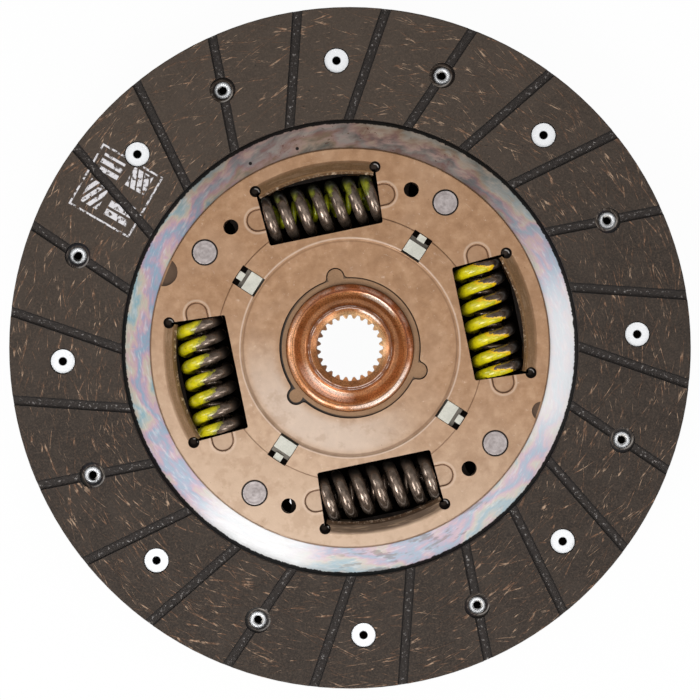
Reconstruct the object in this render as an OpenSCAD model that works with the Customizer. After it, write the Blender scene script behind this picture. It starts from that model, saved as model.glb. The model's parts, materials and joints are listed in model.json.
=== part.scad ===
// Clutch disc with a torsion damper.
// Origin: on the hub's axis, in the middle plane of the cushion disc.
// +Z points out of the photographed face, which lies upwards.

/* [Friction facings] */
// Outer diameter of the facings
facing_d = 228; // [218:1:240]
// Bore of the facings
facing_bore_d = 153; // [146:0.5:160]
// Thickness of one facing
facing_t = 3.3; // [2.8:0.1:4]
// Bevel on the edges of a facing
facing_bevel = 0.3; // [0.1:0.05:0.6]
// Number of grooves across a facing
groove_count = 24; // [16:8:32]
// Width of a groove
groove_w = 3; // [2:0.1:4]
// Depth of a groove
groove_depth = 1.1; // [0.5:0.1:1.6]
// Distance of a groove's centre line from the disc's axis
groove_offset = 25.2; // [15:0.2:32]
// Direction of the first groove, in degrees
groove_angle = -3.9; // [-10:0.1:10]

/* [Facing rivets] */
// Rivets that hold one facing
rivet_count = 8; // [6:1:8]
// Diameter of the circle that the rivets stand on
rivet_circle_d = 192.4; // [186:0.2:198]
// Angle of the first rivet head, in degrees
rivet_angle = 2.7; // [0:0.1:6]
// Diameter of the rivet seats and access holes in a facing
rivet_seat_d = 8.6; // [8.4:0.1:10]
// Depth of a rivet seat below the friction face
rivet_seat_depth = 1.9; // [1.6:0.1:2.2]
// Diameter of a rivet head
rivet_head_d = 8.1; // [6.6:0.1:8.3]
// Thickness of a rivet head
rivet_head_t = 1; // [0.6:0.1:1.4]
// Diameter of a rivet's shank
rivet_shank_d = 4.2; // [3.8:0.1:4.8]
// Bore of the tubular rivets
rivet_bore_d = 2.6; // [1.6:0.1:3]
// Diameter of a rivet's rolled end
rivet_curl_d = 5.8; // [5.4:0.1:6.6]
// Height of a rivet's rolled end
rivet_curl_h = 1.1; // [0.8:0.1:1.3]

/* [Cushion disc] */
// Thickness of the cushion disc
cushion_t = 0.8; // [0.6:0.05:1]
// Height of the waves in its paddles, each way
cushion_wave = 0.7; // [0.4:0.05:0.9]
// Bore of the cushion disc
cushion_bore_d = 127; // [126.4:0.2:131]
// Diameter of its flat ring
cushion_ring_d = 158; // [154:0.5:164]
// Diameter over its paddles
cushion_d = 225; // [212:0.5:228]
// Gap between two paddles, in degrees
paddle_gap = 7; // [4:0.5:12]
// Width of a paddle's neck
paddle_neck_w = 13; // [9:0.5:15]

/* [Cover plates] */
// Outer diameter of the front cover plate
cover_d = 134; // [132:0.5:142]
// Outer diameter of the rear cover plate
rear_cover_d = 132; // [130:0.5:140]
// Sheet thickness of both cover plates
cover_t = 2.2; // [1.8:0.1:2.6]
// Bore of the front cover plate
cover_bore_d = 47.4; // [46.4:0.1:50]
// Inner diameter of the raised ring
ring_inner_d = 72.6; // [71.6:0.1:73.6]
// Outer diameter of the raised ring
ring_outer_d = 89.2; // [87:0.2:92]
// Rise of the raised ring over the outer field
ring_rise = 0.6; // [0.4:0.1:0.9]
// Drop of the centre below the outer field
centre_drop = 0.4; // [0.2:0.1:0.8]
// Rise of the raised ring at its outer crease
crease_rise = 0.3; // [0.2:0.1:0.4]
// Radial width of the slope at the raised ring's inner edge
step_w = 0.8; // [0.5:0.1:1.2]
// Radial width of the crease at the raised ring's outer edge
crease_w = 0.4; // [0.3:0.1:0.8]
// Radial width of the rear cover's dished slope
dish_w = 4; // [3:0.2:5]
// Bevel on the covers' outer edges
cover_bevel = 0.4; // [0.2:0.05:0.7]

/* [Spring windows] */
// Number of springs, windows and stop pins
spring_count = 4; // [4:1:4]
// Angle of the first window, in degrees
pattern_angle = 11.7; // [0:0.1:20]
// Diameter of the circle that the spring axes touch
spring_circle_d = 96; // [94:0.5:98]
// Length of a window along its inner edge
window_l = 38.6; // [36:0.2:40]
// Distance from a spring's axis to its window's inner edge
window_inner_w = 9.2; // [9:0.1:10]
// Flare of each window end, in degrees
window_flare = 3.5; // [0:0.5:5]
// Corner radius of a window
window_corner_r = 0.8; // [0.4:0.1:1.5]
// Distance from a spring's axis to the free edge of its flap
flap_reach = 10.2; // [9.6:0.1:11]
// Radial width of a flap
flap_w = 4.5; // [3.8:0.1:4.8]
// Slope of a flap, in degrees
flap_slope = 36; // [25:1:42]
// Diameter of the relief holes at the ends of a flap
relief_d = 3.8; // [3:0.1:4.4]
// Width of the D-shaped pads at the window ends
pad_w = 7; // [5:0.2:8.4]
// Length of the D-shaped pads
pad_l = 5.3; // [4.4:0.1:6]
// Depth of the D-shaped pads
pad_depth = 0.6; // [0.3:0.1:0.9]

/* [Cover openings] */
// Radius of the lobes in the cover's bore
lobe_r = 3.1; // [2.5:0.1:3.5]
// Distance of the lobes from the axis
lobe_circle_r = 24.2; // [23.6:0.1:25]
// Radius of the fillets at a lobe's root
lobe_fillet_r = 1.2; // [0.6:0.1:1.6]
// Width of a lug window
lug_window_w = 7; // [6:0.1:8]
// Radius at which a lug window begins
lug_window_r = 36.3; // [36:0.1:36.6]
// Radial length of a lug window
lug_window_l = 8.8; // [8.6:0.1:9.4]
// Diameter of the sight holes beside the stop pins
sight_hole_d = 5.1; // [3:0.1:6]
// Distance of the sight holes from the axis
sight_hole_r = 56.8; // [55.5:0.1:58]
// Angle from a stop pin to its sight hole, in degrees
sight_hole_step = 12.1; // [11:0.1:13]
// Radius of the wide notch at the cover's edge
wide_notch_r = 4.8; // [3:0.1:6]
// Radius of the narrow notch at the cover's edge
narrow_notch_r = 3.2; // [2:0.1:5]
// Depth of both notches
notch_depth = 1.3; // [0.6:0.1:1.6]

/* [Stop pins] */
// Diameter of the circle that the stop pins stand on
pin_circle_d = 116.4; // [115:0.2:118]
// Diameter of a pin's head
pin_head_d = 8.2; // [7.2:0.1:9]
// Thickness of a pin's head
pin_head_t = 1.1; // [0.8:0.1:1.4]
// Diameter of a pin's neck
pin_neck_d = 6.4; // [5:0.1:6.8]
// Diameter of a pin's body
pin_body_d = 10; // [9:0.1:10.6]

/* [Springs] */
// Outer diameter of the outer springs
outer_spring_d = 17.4; // [16.8:0.1:17.8]
// Wire of the outer springs
outer_wire_d = 4; // [3.4:0.1:4.1]
// Turns of the outer springs
outer_turns = 6.5; // [5.5:1:7.5]
// Outer diameter of the inner springs
inner_spring_d = 8.6; // [7.6:0.1:8.8]
// Wire of the inner springs
inner_wire_d = 1.9; // [1.6:0.1:2.1]
// Turns of the inner springs
inner_turns = 10.5; // [8.5:1:12.5]

/* [Hub] */
// Height of the hub's nose over the middle plane
hub_front = 8; // [6.5:0.1:12]
// Depth of the hub's rear end below the middle plane
hub_rear = 18; // [16.4:0.1:24]
// Outer diameter of the nose
nose_d = 28.4; // [27:0.1:29.4]
// Outer diameter of the hub's rim
rim_d = 42.6; // [42:0.1:43]
// Height of the rim over the middle plane
rim_front = 3.6; // [2.8:0.1:4.2]
// Number of spline teeth
spline_teeth = 24; // [20:1:28]
// Diameter of the spline at its roots
spline_major_d = 22.2; // [21.4:0.1:22.8]
// Diameter of the spline at its tips
spline_minor_d = 19.8; // [19:0.1:20.4]
// Width of a tooth gap at its root
spline_gap_w = 0.9; // [0.6:0.1:1.1]
// Slope of a gap's flanks, in degrees
spline_flank = 24; // [10:1:30]
// Depth of the lead-in at both ends of the spline
lead_in = 1.9; // [1:0.1:2.5]
// Diameter of the journal for the rear bush
journal_d = 36; // [34:0.2:37]

/* [Drive flange] */
// Thickness of the drive flange
flange_t = 4; // [3.4:0.1:4.6]
// Outer diameter of the drive flange
flange_d = 129; // [127:0.5:130]
// Twist from rest to the stop pins, in degrees
twist = 8; // [4:0.5:8]
// Teeth between hub and flange
seat_teeth = 16; // [12:1:20]
// Root diameter of the hub's seat
seat_root_d = 39.6; // [39:0.1:40.2]

/* [Friction pack] */
// Thickness of the friction rings
friction_t = 1; // [0.8:0.1:1.2]
// Thickness of the thrust ring
thrust_t = 1; // [0.8:0.1:1.2]
// Thickness of the disc spring
disc_spring_t = 0.7; // [0.5:0.1:0.8]
// Height that the disc spring is dished by
disc_spring_dish = 0.1; // [0.1:0.05:0.3]
// Outer diameter of the front bush under the cover
bush_d = 52.4; // [51:0.2:53]
// Bore of the friction pack's rings
pack_bore_d = 54.4; // [53.8:0.2:56]
// Width of the wide lugs
lug_w = 6.7; // [4:0.1:6.8]
// Width of the narrow clip tabs
tab_w = 2.9; // [2:0.1:3.4]

/* [Hidden] */
$fn = 96;
// Play between faces that only touch
play = 0.05;
// Radial play of the running bushes
running = 0.15;
// Overrun of cuts past the faces they open
past = 1;
// Length of a spring's collars, and their step over the wire
collar_l = 0.5;
collar_step = 0.02;

spring_step = 360 / spring_count;
spring_r = spring_circle_d / 2;
pin_r = pin_circle_d / 2;
pin_angle = pattern_angle + spring_step / 2;
rivet_r = rivet_circle_d / 2;
rivet_step = 360 / rivet_count;

// Levels along the axis
facing_seat_z = cushion_t / 2 + cushion_wave;
facing_top_z = facing_seat_z + facing_t;
front_cover_z = cushion_t / 2;
centre_z = front_cover_z - centre_drop;
pack_h = friction_t + thrust_t + disc_spring_t + disc_spring_dish + 4 * play;
flange_top_z = centre_z - pack_h;
flange_rear_z = flange_top_z - flange_t;
spring_z = flange_top_z - flange_t / 2;
rear_centre_z = flange_rear_z - friction_t - 2 * play;
rear_cover_z = 2 * spring_z - front_cover_z;

// Radii of a flap, and the angle of the groove that the access holes lie on
flap_edge_r = spring_r + flap_reach;
flap_bend_r = flap_edge_r + flap_w;
window_inner_r = spring_r - window_inner_w;
spring_length = window_l - 2 * play;
access_angle = groove_angle + asin(groove_offset / rivet_r) + 360 / groove_count;
// In-plane axis about which the front facing and rivets turn over into the rear ones
flip_angle = (rivet_angle + access_angle) / 2;

function polar(r, a) = [r * cos(a), r * sin(a)];

// Half length of a window at the distance x from the disc's axis
function window_half_l(x) = window_l / 2 + (x - window_inner_r) * tan(window_flare);

module around(count, first = 0) {
  for (i = [0 : count - 1]) rotate(first + i * 360 / count) children();
}

module tube(r_out, r_in, z0, z1) {
  translate([0, 0, z0]) linear_extrude(z1 - z0) difference() {
    circle(r_out);
    circle(r_in);
  }
}

module wedge(half_angle, reach) {
  polygon([[0, 0], polar(reach, -half_angle), [reach * 1.2, 0], polar(reach, half_angle)]);
}

module turned_over() {
  rotate(a = 180, v = [cos(flip_angle), sin(flip_angle), 0]) children();
}

// Friction facing, with its friction face up

module facing_ring() {
  r_out = facing_d / 2;
  r_in = facing_bore_d / 2;
  rotate_extrude() polygon([
    [r_in, facing_seat_z], [r_out, facing_seat_z], [r_out, facing_top_z - facing_bevel],
    [r_out - facing_bevel, facing_top_z], [r_in + facing_bevel, facing_top_z],
    [r_in, facing_top_z - facing_bevel]
  ]);
}

module groove_cut() {
  translate([facing_bore_d / 4, groove_offset - groove_w / 2, facing_top_z - groove_depth])
    cube([facing_d / 2, groove_w, groove_depth + past]);
}

module rivet_seat_cut() {
  translate([rivet_r, 0, facing_top_z - rivet_seat_depth])
    cylinder(h = rivet_seat_depth + past, d = rivet_seat_d);
  translate([rivet_r, 0, facing_seat_z - past])
    cylinder(h = facing_t, d = rivet_shank_d + 2 * play);
}

module access_cut() {
  translate([rivet_r, 0, facing_seat_z - past])
    cylinder(h = facing_t + 2 * past, d = rivet_seat_d);
}

module facing() {
  difference() {
    facing_ring();
    around(groove_count, groove_angle) groove_cut();
    around(rivet_count, rivet_angle) rivet_seat_cut();
    around(rivet_count, access_angle) access_cut();
  }
}

module front_facing() {
  color([0.24, 0.21, 0.19]) facing();
}

module rear_facing() {
  color([0.24, 0.21, 0.19]) turned_over() facing();
}

// Tubular rivets: flat head in the seat, rolled end behind the cushion disc

module rivet() {
  seat_z = facing_top_z - rivet_seat_depth;
  pad_rear_z = cushion_wave - cushion_t / 2;
  curl_r = (rivet_curl_d - rivet_bore_d) / 4;
  curl_z = pad_rear_z - rivet_curl_h;
  rotate_extrude() difference() {
    union() {
      translate([0, seat_z]) square([rivet_head_d / 2, rivet_head_t]);
      translate([0, curl_z + curl_r]) square([rivet_shank_d / 2, seat_z - curl_z - curl_r]);
      translate([rivet_bore_d / 2 + curl_r, curl_z + curl_r]) intersection() {
        circle(curl_r);
        translate([-2 * curl_r, -2 * curl_r]) square([4 * curl_r, 2 * curl_r]);
      }
      translate([rivet_bore_d / 2, curl_z + curl_r]) square([2 * curl_r, rivet_curl_h - curl_r]);
    }
    translate([-past, curl_z - past])
      square([past + rivet_bore_d / 2, facing_top_z - curl_z + past]);
  }
}

module front_facing_rivets() {
  color([0.85, 0.86, 0.87]) around(rivet_count, rivet_angle) translate([rivet_r, 0, 0]) rivet();
}

module rear_facing_rivets() {
  color([0.7, 0.68, 0.66])
    turned_over() around(rivet_count, rivet_angle) translate([rivet_r, 0, 0]) rivet();
}

// Cushion disc: a flat ring with lobes at the stop pins, and waved paddles between the facings

module paddle_outline() {
  half_angle = (rivet_step - paddle_gap) / 2;
  intersection() {
    difference() {
      circle(cushion_d / 2);
      circle(cushion_ring_d / 2 + 3);
    }
    wedge(half_angle, cushion_d);
  }
}

// The wave runs across the paddle: up at the front rivet, down at the rear one
module paddle_wave() {
  slope_w = paddle_neck_w * 0.7;
  reach = cushion_d / 2;
  top = cushion_wave + cushion_t / 2;
  low = cushion_wave - cushion_t / 2;
  rotate([90, 0, 90]) linear_extrude(cushion_d) polygon([
    [-reach, -top], [-slope_w, -top], [slope_w, low], [reach, low],
    [reach, top], [slope_w, top], [-slope_w, -low], [-reach, -low]
  ]);
}

module paddle() {
  intersection() {
    translate([0, 0, -2 * cushion_wave - cushion_t])
      linear_extrude(4 * cushion_wave + 2 * cushion_t) paddle_outline();
    paddle_wave();
  }
  translate([cushion_ring_d / 2 - 2, -paddle_neck_w / 2, -cushion_t / 2])
    cube([7, paddle_neck_w, cushion_t]);
}

module cushion_ring() {
  lobe_d = pin_body_d + 3;
  translate([0, 0, -cushion_t / 2]) linear_extrude(cushion_t) {
    difference() {
      circle(cushion_ring_d / 2);
      circle(cushion_bore_d / 2);
    }
    around(spring_count, pin_angle) translate([pin_r, 0]) {
      circle(d = lobe_d);
      translate([0, -lobe_d / 2]) square([cushion_bore_d / 2 - pin_r + 2, lobe_d]);
    }
  }
}

module cushion_disc() {
  // Middle of a paddle, between the rear rivet and the next front one
  paddle_angle = (access_angle + rivet_angle + rivet_step) / 2;
  color([0.7, 0.75, 0.78]) difference() {
    union() {
      cushion_ring();
      around(rivet_count, paddle_angle) paddle();
    }
    around(spring_count, pin_angle) translate([pin_r, 0, -cushion_t])
      cylinder(h = 2 * cushion_t, d = pin_neck_d + 2 * play);
    for (first = [rivet_angle, access_angle])
      around(rivet_count, first) translate([rivet_r, 0, -3])
        cylinder(h = 6, d = rivet_shank_d + 2 * play);
  }
}

// Pressed cover plate, with the drive flange below it and its flaps rising upwards

module cover_blank(levels, r) {
  count = len(levels);
  rotate_extrude() polygon(concat(
    levels,
    [[r, 0], [r, cover_t - cover_bevel], [r - cover_bevel, cover_t]],
    [for (i = [count - 1 : -1 : 0]) levels[i] + [0, cover_t]]
  ));
}

// Window seen from above, with its spring axis along Y at x = spring_r
module window_outline(outer_x) {
  corner_x = window_inner_r + window_corner_r;
  corner_y = window_half_l(corner_x) - window_corner_r / cos(window_flare);
  tangent = [
    corner_x - window_corner_r * sin(window_flare),
    corner_y + window_corner_r * cos(window_flare)
  ];
  polygon([
    [window_inner_r, -corner_y], [tangent[0], -tangent[1]],
    [outer_x, -window_half_l(outer_x)], [outer_x, window_half_l(outer_x)],
    tangent, [window_inner_r, corner_y]
  ]);
  for (side = [-1, 1]) translate([corner_x, side * corner_y]) circle(window_corner_r);
}

module window_cut() {
  translate([0, 0, -past]) linear_extrude(cover_t + ring_rise + 2 * past) intersection() {
    circle(flap_bend_r);
    window_outline(flap_bend_r + past);
  }
}

// Flap that leans out over the spring from the window's outer edge
module flap() {
  rise = [-cos(flap_slope), sin(flap_slope)];
  across = [-sin(flap_slope), -cos(flap_slope)];
  bend_top = [flap_bend_r, cover_t];
  run = (flap_w - cover_t * sin(flap_slope)) / cos(flap_slope);
  edge_top = bend_top + run * rise;
  edge_low = edge_top + cover_t * across;
  foot_r = edge_low[0] + edge_low[1] / tan(flap_slope);
  span = 2 * asin(window_half_l(flap_bend_r) / flap_bend_r);
  intersection() {
    rotate(-span / 2) rotate_extrude(angle = span) polygon([
      [flap_bend_r + past, cover_t * 0.25], [flap_bend_r + past, cover_t * 0.75], bend_top,
      edge_top, edge_low, [min(foot_r, flap_bend_r), 0]
    ]);
    translate([0, 0, -past]) linear_extrude(3 * cover_t + 2 * past)
      polygon([for (side = [-1, 1], x = [window_inner_r, flap_bend_r + 2 * past])
        [side < 0 ? x : window_inner_r + flap_bend_r + 2 * past - x,
         side * (window_half_l(side < 0 ? x : window_inner_r + flap_bend_r + 2 * past - x) - 0.25)]]);
  }
}

module relief_cuts() {
  x = sqrt(pow(flap_bend_r - 1.5, 2) - pow(window_half_l(flap_bend_r - 4), 2));
  for (side = [-1, 1])
    translate([x, side * window_half_l(x), -past])
      cylinder(h = 3 * cover_t + 2 * past, d = relief_d);
}

module pad_outline() {
  end_y = window_half_l(spring_r);
  for (side = [-1, 1]) {
    translate([spring_r, side * (end_y + pad_l - pad_w / 2)]) circle(pad_w / 2);
    translate([spring_r - pad_w / 2, side > 0 ? end_y - past : -end_y - pad_l + pad_w / 2])
      square([pad_w, pad_l - pad_w / 2 + past]);
  }
}

module pad_bosses() {
  translate([0, 0, -pad_depth]) linear_extrude(pad_depth + past / 2) difference() {
    pad_outline();
    window_outline(flap_bend_r);
  }
}

module pad_recesses() {
  translate([0, 0, cover_t - pad_depth]) linear_extrude(past + pad_depth) pad_outline();
}

module pin_seat_cut() {
  translate([pin_r, 0, -past]) cylinder(h = cover_t + past, d = pin_neck_d + 2 * play);
  translate([pin_r, 0, cover_t - pin_head_t]) cylinder(h = past + pin_head_t, d = pin_head_d + 0.5);
}

module cover_plate(levels, r) {
  difference() {
    union() {
      difference() {
        cover_blank(levels, r);
        around(spring_count, pattern_angle) window_cut();
      }
      around(spring_count, pattern_angle) {
        flap();
        pad_bosses();
      }
    }
    around(spring_count, pattern_angle) {
      relief_cuts();
      pad_recesses();
    }
    around(spring_count, pin_angle) pin_seat_cut();
    for (i = [0 : spring_count - 1])
      rotate(pin_angle + i * spring_step + (i % 2 == 0 ? 1 : -1) * sight_hole_step)
        translate([sight_hole_r, 0, -past]) cylinder(h = cover_t + 2 * past, d = sight_hole_d);
  }
}

// Disc with rounded lobes, each run into it by fillets
module lobed_disc(r, lobe, fillet) {
  fx = (pow(r + fillet, 2) - pow(lobe + fillet, 2) + pow(lobe_circle_r, 2)) / (2 * lobe_circle_r);
  fy = sqrt(pow(r + fillet, 2) - fx * fx);
  // Corner of the filled patch, pulled in a little so that its edges cross the arcs cleanly
  corner = [fx, fy] + 0.2 * ([r, 0] - [fx, fy]) / norm([r, 0] - [fx, fy]);
  circle(r);
  around(3, pattern_angle + spring_step) {
    translate([lobe_circle_r, 0]) circle(lobe);
    difference() {
      polygon([[0, 0], [corner[0], -corner[1]], [lobe_circle_r, 0], corner]);
      for (side = [-1, 1]) translate([fx, side * fy]) circle(fillet);
    }
  }
}

module lug_window_cut() {
  translate([lug_window_r, -lug_window_w / 2, -past])
    cube([lug_window_l, lug_window_w, cover_t + ring_rise + 2 * past]);
}

module edge_notch_cut(r) {
  translate([cover_d / 2 + 0.5, 0, cover_t - notch_depth]) cylinder(h = notch_depth + past, r = r);
}

module front_cover() {
  wide_notch_angle = pin_angle + spring_step + 11.2;
  narrow_notch_angle = pin_angle - spring_step + 15;
  levels = [
    [spline_major_d / 2, -centre_drop], [ring_inner_d / 2 - step_w / 2, -centre_drop],
    [ring_inner_d / 2 + step_w / 2, ring_rise], [ring_outer_d / 2 - crease_w / 2, crease_rise],
    [ring_outer_d / 2 + crease_w / 2, 0]
  ];
  color([0.66, 0.52, 0.4]) translate([0, 0, front_cover_z]) difference() {
    cover_plate(levels, cover_d / 2);
    translate([0, 0, -past - centre_drop]) linear_extrude(cover_t + 2 * past)
      lobed_disc(cover_bore_d / 2, lobe_r, lobe_fillet_r);
    around(spring_count, pin_angle) lug_window_cut();
    rotate(wide_notch_angle) edge_notch_cut(wide_notch_r);
    rotate(narrow_notch_angle) edge_notch_cut(narrow_notch_r);
  }
}

module rear_cover() {
  bore_r = journal_d / 2 + running + rear_bush_wall + play;
  levels = [
    [bore_r, rear_cover_z - rear_centre_z], [ring_inner_d / 2 + 0.3, rear_cover_z - rear_centre_z],
    [ring_inner_d / 2 + 0.3 + dish_w, 0]
  ];
  color([0.62, 0.49, 0.38]) translate([0, 0, rear_cover_z]) mirror([0, 0, 1])
    cover_plate(levels, rear_cover_d / 2);
}

// Stop pins: a thick body between the covers, with a neck and a flat head at each end

module stop_pin() {
  body_top_z = -cushion_t / 2;
  front_face_z = front_cover_z + cover_t - 0.1;
  rear_face_z = rear_cover_z - cover_t + 0.1;
  head_t = pin_head_t - 0.1;
  rotate_extrude() polygon([
    [0, rear_face_z], [pin_head_d / 2, rear_face_z], [pin_head_d / 2, rear_face_z + head_t],
    [pin_neck_d / 2, rear_face_z + head_t], [pin_neck_d / 2, rear_cover_z],
    [pin_body_d / 2, rear_cover_z], [pin_body_d / 2, body_top_z],
    [pin_neck_d / 2, body_top_z], [pin_neck_d / 2, front_face_z - head_t],
    [pin_head_d / 2, front_face_z - head_t], [pin_head_d / 2, front_face_z], [0, front_face_z]
  ]);
}

module stop_pins() {
  color([0.66, 0.63, 0.63]) around(spring_count, pin_angle) translate([pin_r, 0, 0]) stop_pin();
}

// Hub: turned body, broached spline and a toothed seat for the drive flange

module hub_body() {
  nose_r = nose_d / 2;
  rim_r = rim_d / 2;
  journal_r = journal_d / 2;
  lead_r = spline_major_d / 2 + lead_in;
  channel_z = rim_front - 1.6;
  lead_h = 0.6 * lead_in;
  journal_end_z = rear_centre_z - cover_t - 0.3;
  difference() {
    rotate_extrude() difference() {
      polygon([
        [0, -hub_rear], [nose_r - 0.5, -hub_rear], [nose_r, 0.5 - hub_rear],
        [nose_r, journal_end_z], [journal_r - 0.4, journal_end_z],
        [journal_r, journal_end_z + 0.4], [journal_r, flange_rear_z],
        [rim_r - 0.1, flange_rear_z], [rim_r - 0.1, flange_top_z],
        [rim_r, flange_top_z], [rim_r, rim_front - 1.1], [rim_r - 0.5, rim_front - 0.45],
        [rim_r - 1.3, rim_front - 0.05], [rim_r - 1.9, rim_front], [nose_r, rim_front],
        [nose_r, hub_front - 0.3], [nose_r - 0.3, hub_front], [0, hub_front]
      ]);
      hub_channel(nose_r, rim_r - 1.9, channel_z);
    }
    translate([0, 0, hub_front - lead_h])
      cylinder(h = lead_h + play, r1 = lead_r - lead_in, r2 = lead_r + play / 0.6);
    translate([0, 0, -hub_rear - play])
      cylinder(h = lead_h + play, r1 = lead_r + play / 0.6, r2 = lead_r - lead_in);
  }
}

// Hollow channel: a round corner at the nose, then a floor that swells gently up to the rim
module hub_channel(r_in, r_out, floor_z) {
  corner_r = 1.4;
  rise = rim_front - floor_z;
  floor_r = r_in + corner_r + 0.4;
  polygon(concat(
    [[r_in, hub_front], [r_in, floor_z + corner_r]],
    [for (i = [1 : 6]) [
      r_in + corner_r * (1 - cos(i * 15)), floor_z + corner_r * (1 - sin(i * 15))
    ]],
    [for (i = [0 : 12]) [
      floor_r + (r_out - floor_r) * i / 12, floor_z + rise * (1 - cos(i * 15)) / 2
    ]],
    [[r_out, hub_front]]
  ));
}

module spline_outline() {
  major_r = spline_major_d / 2;
  foot_r = spline_minor_d / 2 - 0.6;
  foot_w = spline_gap_w + 2 * (major_r - foot_r) * tan(spline_flank);
  circle(spline_minor_d / 2);
  intersection() {
    circle(major_r);
    around(spline_teeth) polygon([
      [foot_r, -foot_w / 2], [major_r + 0.2, -spline_gap_w / 2 + 0.2 * tan(spline_flank)],
      [major_r + 0.2, spline_gap_w / 2 - 0.2 * tan(spline_flank)], [foot_r, foot_w / 2]
    ]);
  }
}

// Toothed outline of the seat, grown all round by the play that the flange needs
module seat_outline(grow) {
  tip_r = rim_d / 2 - 0.1 + grow;
  root_r = seat_root_d / 2 + grow;
  tooth_w = PI * root_r / seat_teeth + 2 * grow;
  circle(root_r);
  intersection() {
    circle(tip_r);
    around(seat_teeth) translate([0, -tooth_w / 2]) square([tip_r + past, tooth_w]);
  }
}

module hub() {
  color([0.78, 0.5, 0.33]) difference() {
    hub_body();
    translate([0, 0, -hub_rear - past]) linear_extrude(hub_rear + hub_front + 2 * past)
      spline_outline();
    translate([0, 0, flange_rear_z - play]) linear_extrude(flange_t + play) difference() {
      circle(rim_d);
      seat_outline(0);
    }
  }
}

// Drive flange: spring windows, and notches that stop against the pins

module pin_notch_outline() {
  notch_r = pin_body_d / 2 + 0.2;
  reach = flange_d / 2 + past;
  intersection() {
    difference() {
      circle(reach);
      circle(pin_r - notch_r);
    }
    wedge(twist, flange_d);
  }
  for (side = [-1, 1]) rotate(side * twist) {
    translate([pin_r, 0]) circle(notch_r);
    translate([pin_r, -notch_r]) square([reach - pin_r, 2 * notch_r]);
  }
}

module drive_flange() {
  window_outer_x = spring_r + outer_spring_d / 2 + 0.4;
  color([0.45, 0.42, 0.4]) translate([0, 0, flange_rear_z]) linear_extrude(flange_t) difference() {
    circle(flange_d / 2);
    seat_outline(play);
    around(spring_count, pattern_angle) window_outline(window_outer_x);
    around(spring_count, pin_angle) pin_notch_outline();
  }
}

// Bushes that centre both covers on the hub

front_bush_bore_r = rim_d / 2 + running;
rear_bush_wall = 2.3;
bush_top_z = centre_z + 1.3;

module front_bush() {
  color([0.5, 0.43, 0.37]) difference() {
    union() {
      tube(bush_d / 2, front_bush_bore_r, flange_top_z + play, centre_z - play);
      translate([0, 0, centre_z - 2 * play]) linear_extrude(bush_top_z - centre_z + 2 * play)
        lobed_disc(cover_bore_d / 2 - 0.3, lobe_r - 0.3, lobe_fillet_r + 0.3);
    }
    translate([0, 0, flange_top_z]) cylinder(h = bush_top_z - flange_top_z + past, r = front_bush_bore_r);
  }
}

module rear_bush() {
  bore_r = journal_d / 2 + running;
  wall_r = bore_r + rear_bush_wall;
  color([0.5, 0.43, 0.37]) union() {
    tube(wall_r, bore_r, rear_centre_z - cover_t, rear_centre_z + 2 * play);
    tube(wall_r + 1.4, bore_r, rear_centre_z + play, flange_rear_z - play);
  }
}

// Friction pack

pack_r = window_inner_r - 0.4;
lug_r0 = lug_window_r + 0.8;
lug_step_r = lug_r0 + 4.4;
lug_r1 = lug_step_r + 1.5;
hook_r0 = lug_step_r + 1.1;
tab_r1 = lug_window_r + lug_window_l - 0.2;
cover_ring_z = front_cover_z + ring_rise + cover_t;

module clip_tab() {
  base_z = flange_top_z + play;
  hook_top_z = cover_ring_z - 1.1;
  stem_r0 = lug_r1 + 0.2;
  translate([lug_r0, -tab_w / 2, base_z]) cube([tab_r1 - lug_r0, tab_w, friction_t]);
  translate([stem_r0, -tab_w / 2, base_z]) cube([tab_r1 - stem_r0, tab_w, hook_top_z - base_z]);
  translate([hook_r0, -tab_w / 2, hook_top_z - 0.7]) cube([tab_r1 - hook_r0, tab_w, 0.7]);
}

module front_friction_ring() {
  base_z = flange_top_z + play;
  color([0.72, 0.75, 0.68]) union() {
    tube(pack_r, pack_bore_d / 2, base_z, base_z + friction_t);
    around(spring_count, pin_angle) clip_tab();
  }
}

module thrust_ring() {
  base_z = flange_top_z + 2 * play + friction_t;
  step_top_z = cover_ring_z - 1.9;
  lug_top_z = cover_ring_z - 0.3;
  color([0.8, 0.82, 0.76]) union() {
    tube(pack_r, pack_bore_d / 2, base_z, base_z + thrust_t);
    around(spring_count, pin_angle) {
      translate([lug_r0, -lug_w / 2, base_z]) cube([lug_step_r - lug_r0, lug_w, lug_top_z - base_z]);
      translate([lug_r0, -lug_w / 2, base_z]) cube([lug_r1 - lug_r0, lug_w, step_top_z - base_z]);
    }
  }
}

module disc_spring() {
  r0 = pack_bore_d / 2;
  r1 = ring_inner_d / 2 - step_w / 2;
  low_z = flange_top_z + 3 * play + friction_t + thrust_t;
  color([0.4, 0.38, 0.37]) rotate_extrude() polygon([
    [r0, low_z], [r1, low_z + disc_spring_dish],
    [r1, low_z + disc_spring_dish + disc_spring_t], [r0, low_z + disc_spring_t]
  ]);
}

module rear_friction_ring() {
  bore_r = journal_d / 2 + running + rear_bush_wall + 1.6;
  color([0.5, 0.47, 0.42])
    tube(ring_inner_d / 2, bore_r, rear_centre_z + play, flange_rear_z - play);
}

// Coil springs: tilted half turns of a torus, joined by short collars a hair wider than the wire

module half_turn(mean_r, wire, lean) {
  joint = collar_l / 4 / mean_r * 180 / PI;
  rotate([0, lean, 0]) rotate([0, 0, joint]) rotate_extrude(angle = 180 - 2 * joint)
    translate([mean_r / cos(lean), 0]) circle(d = wire);
}

module collar(mean_r, wire) {
  translate([mean_r, collar_l / 2, 0]) rotate([90, 0, 0])
    cylinder(h = collar_l, d = wire + 2 * collar_step);
}

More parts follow.
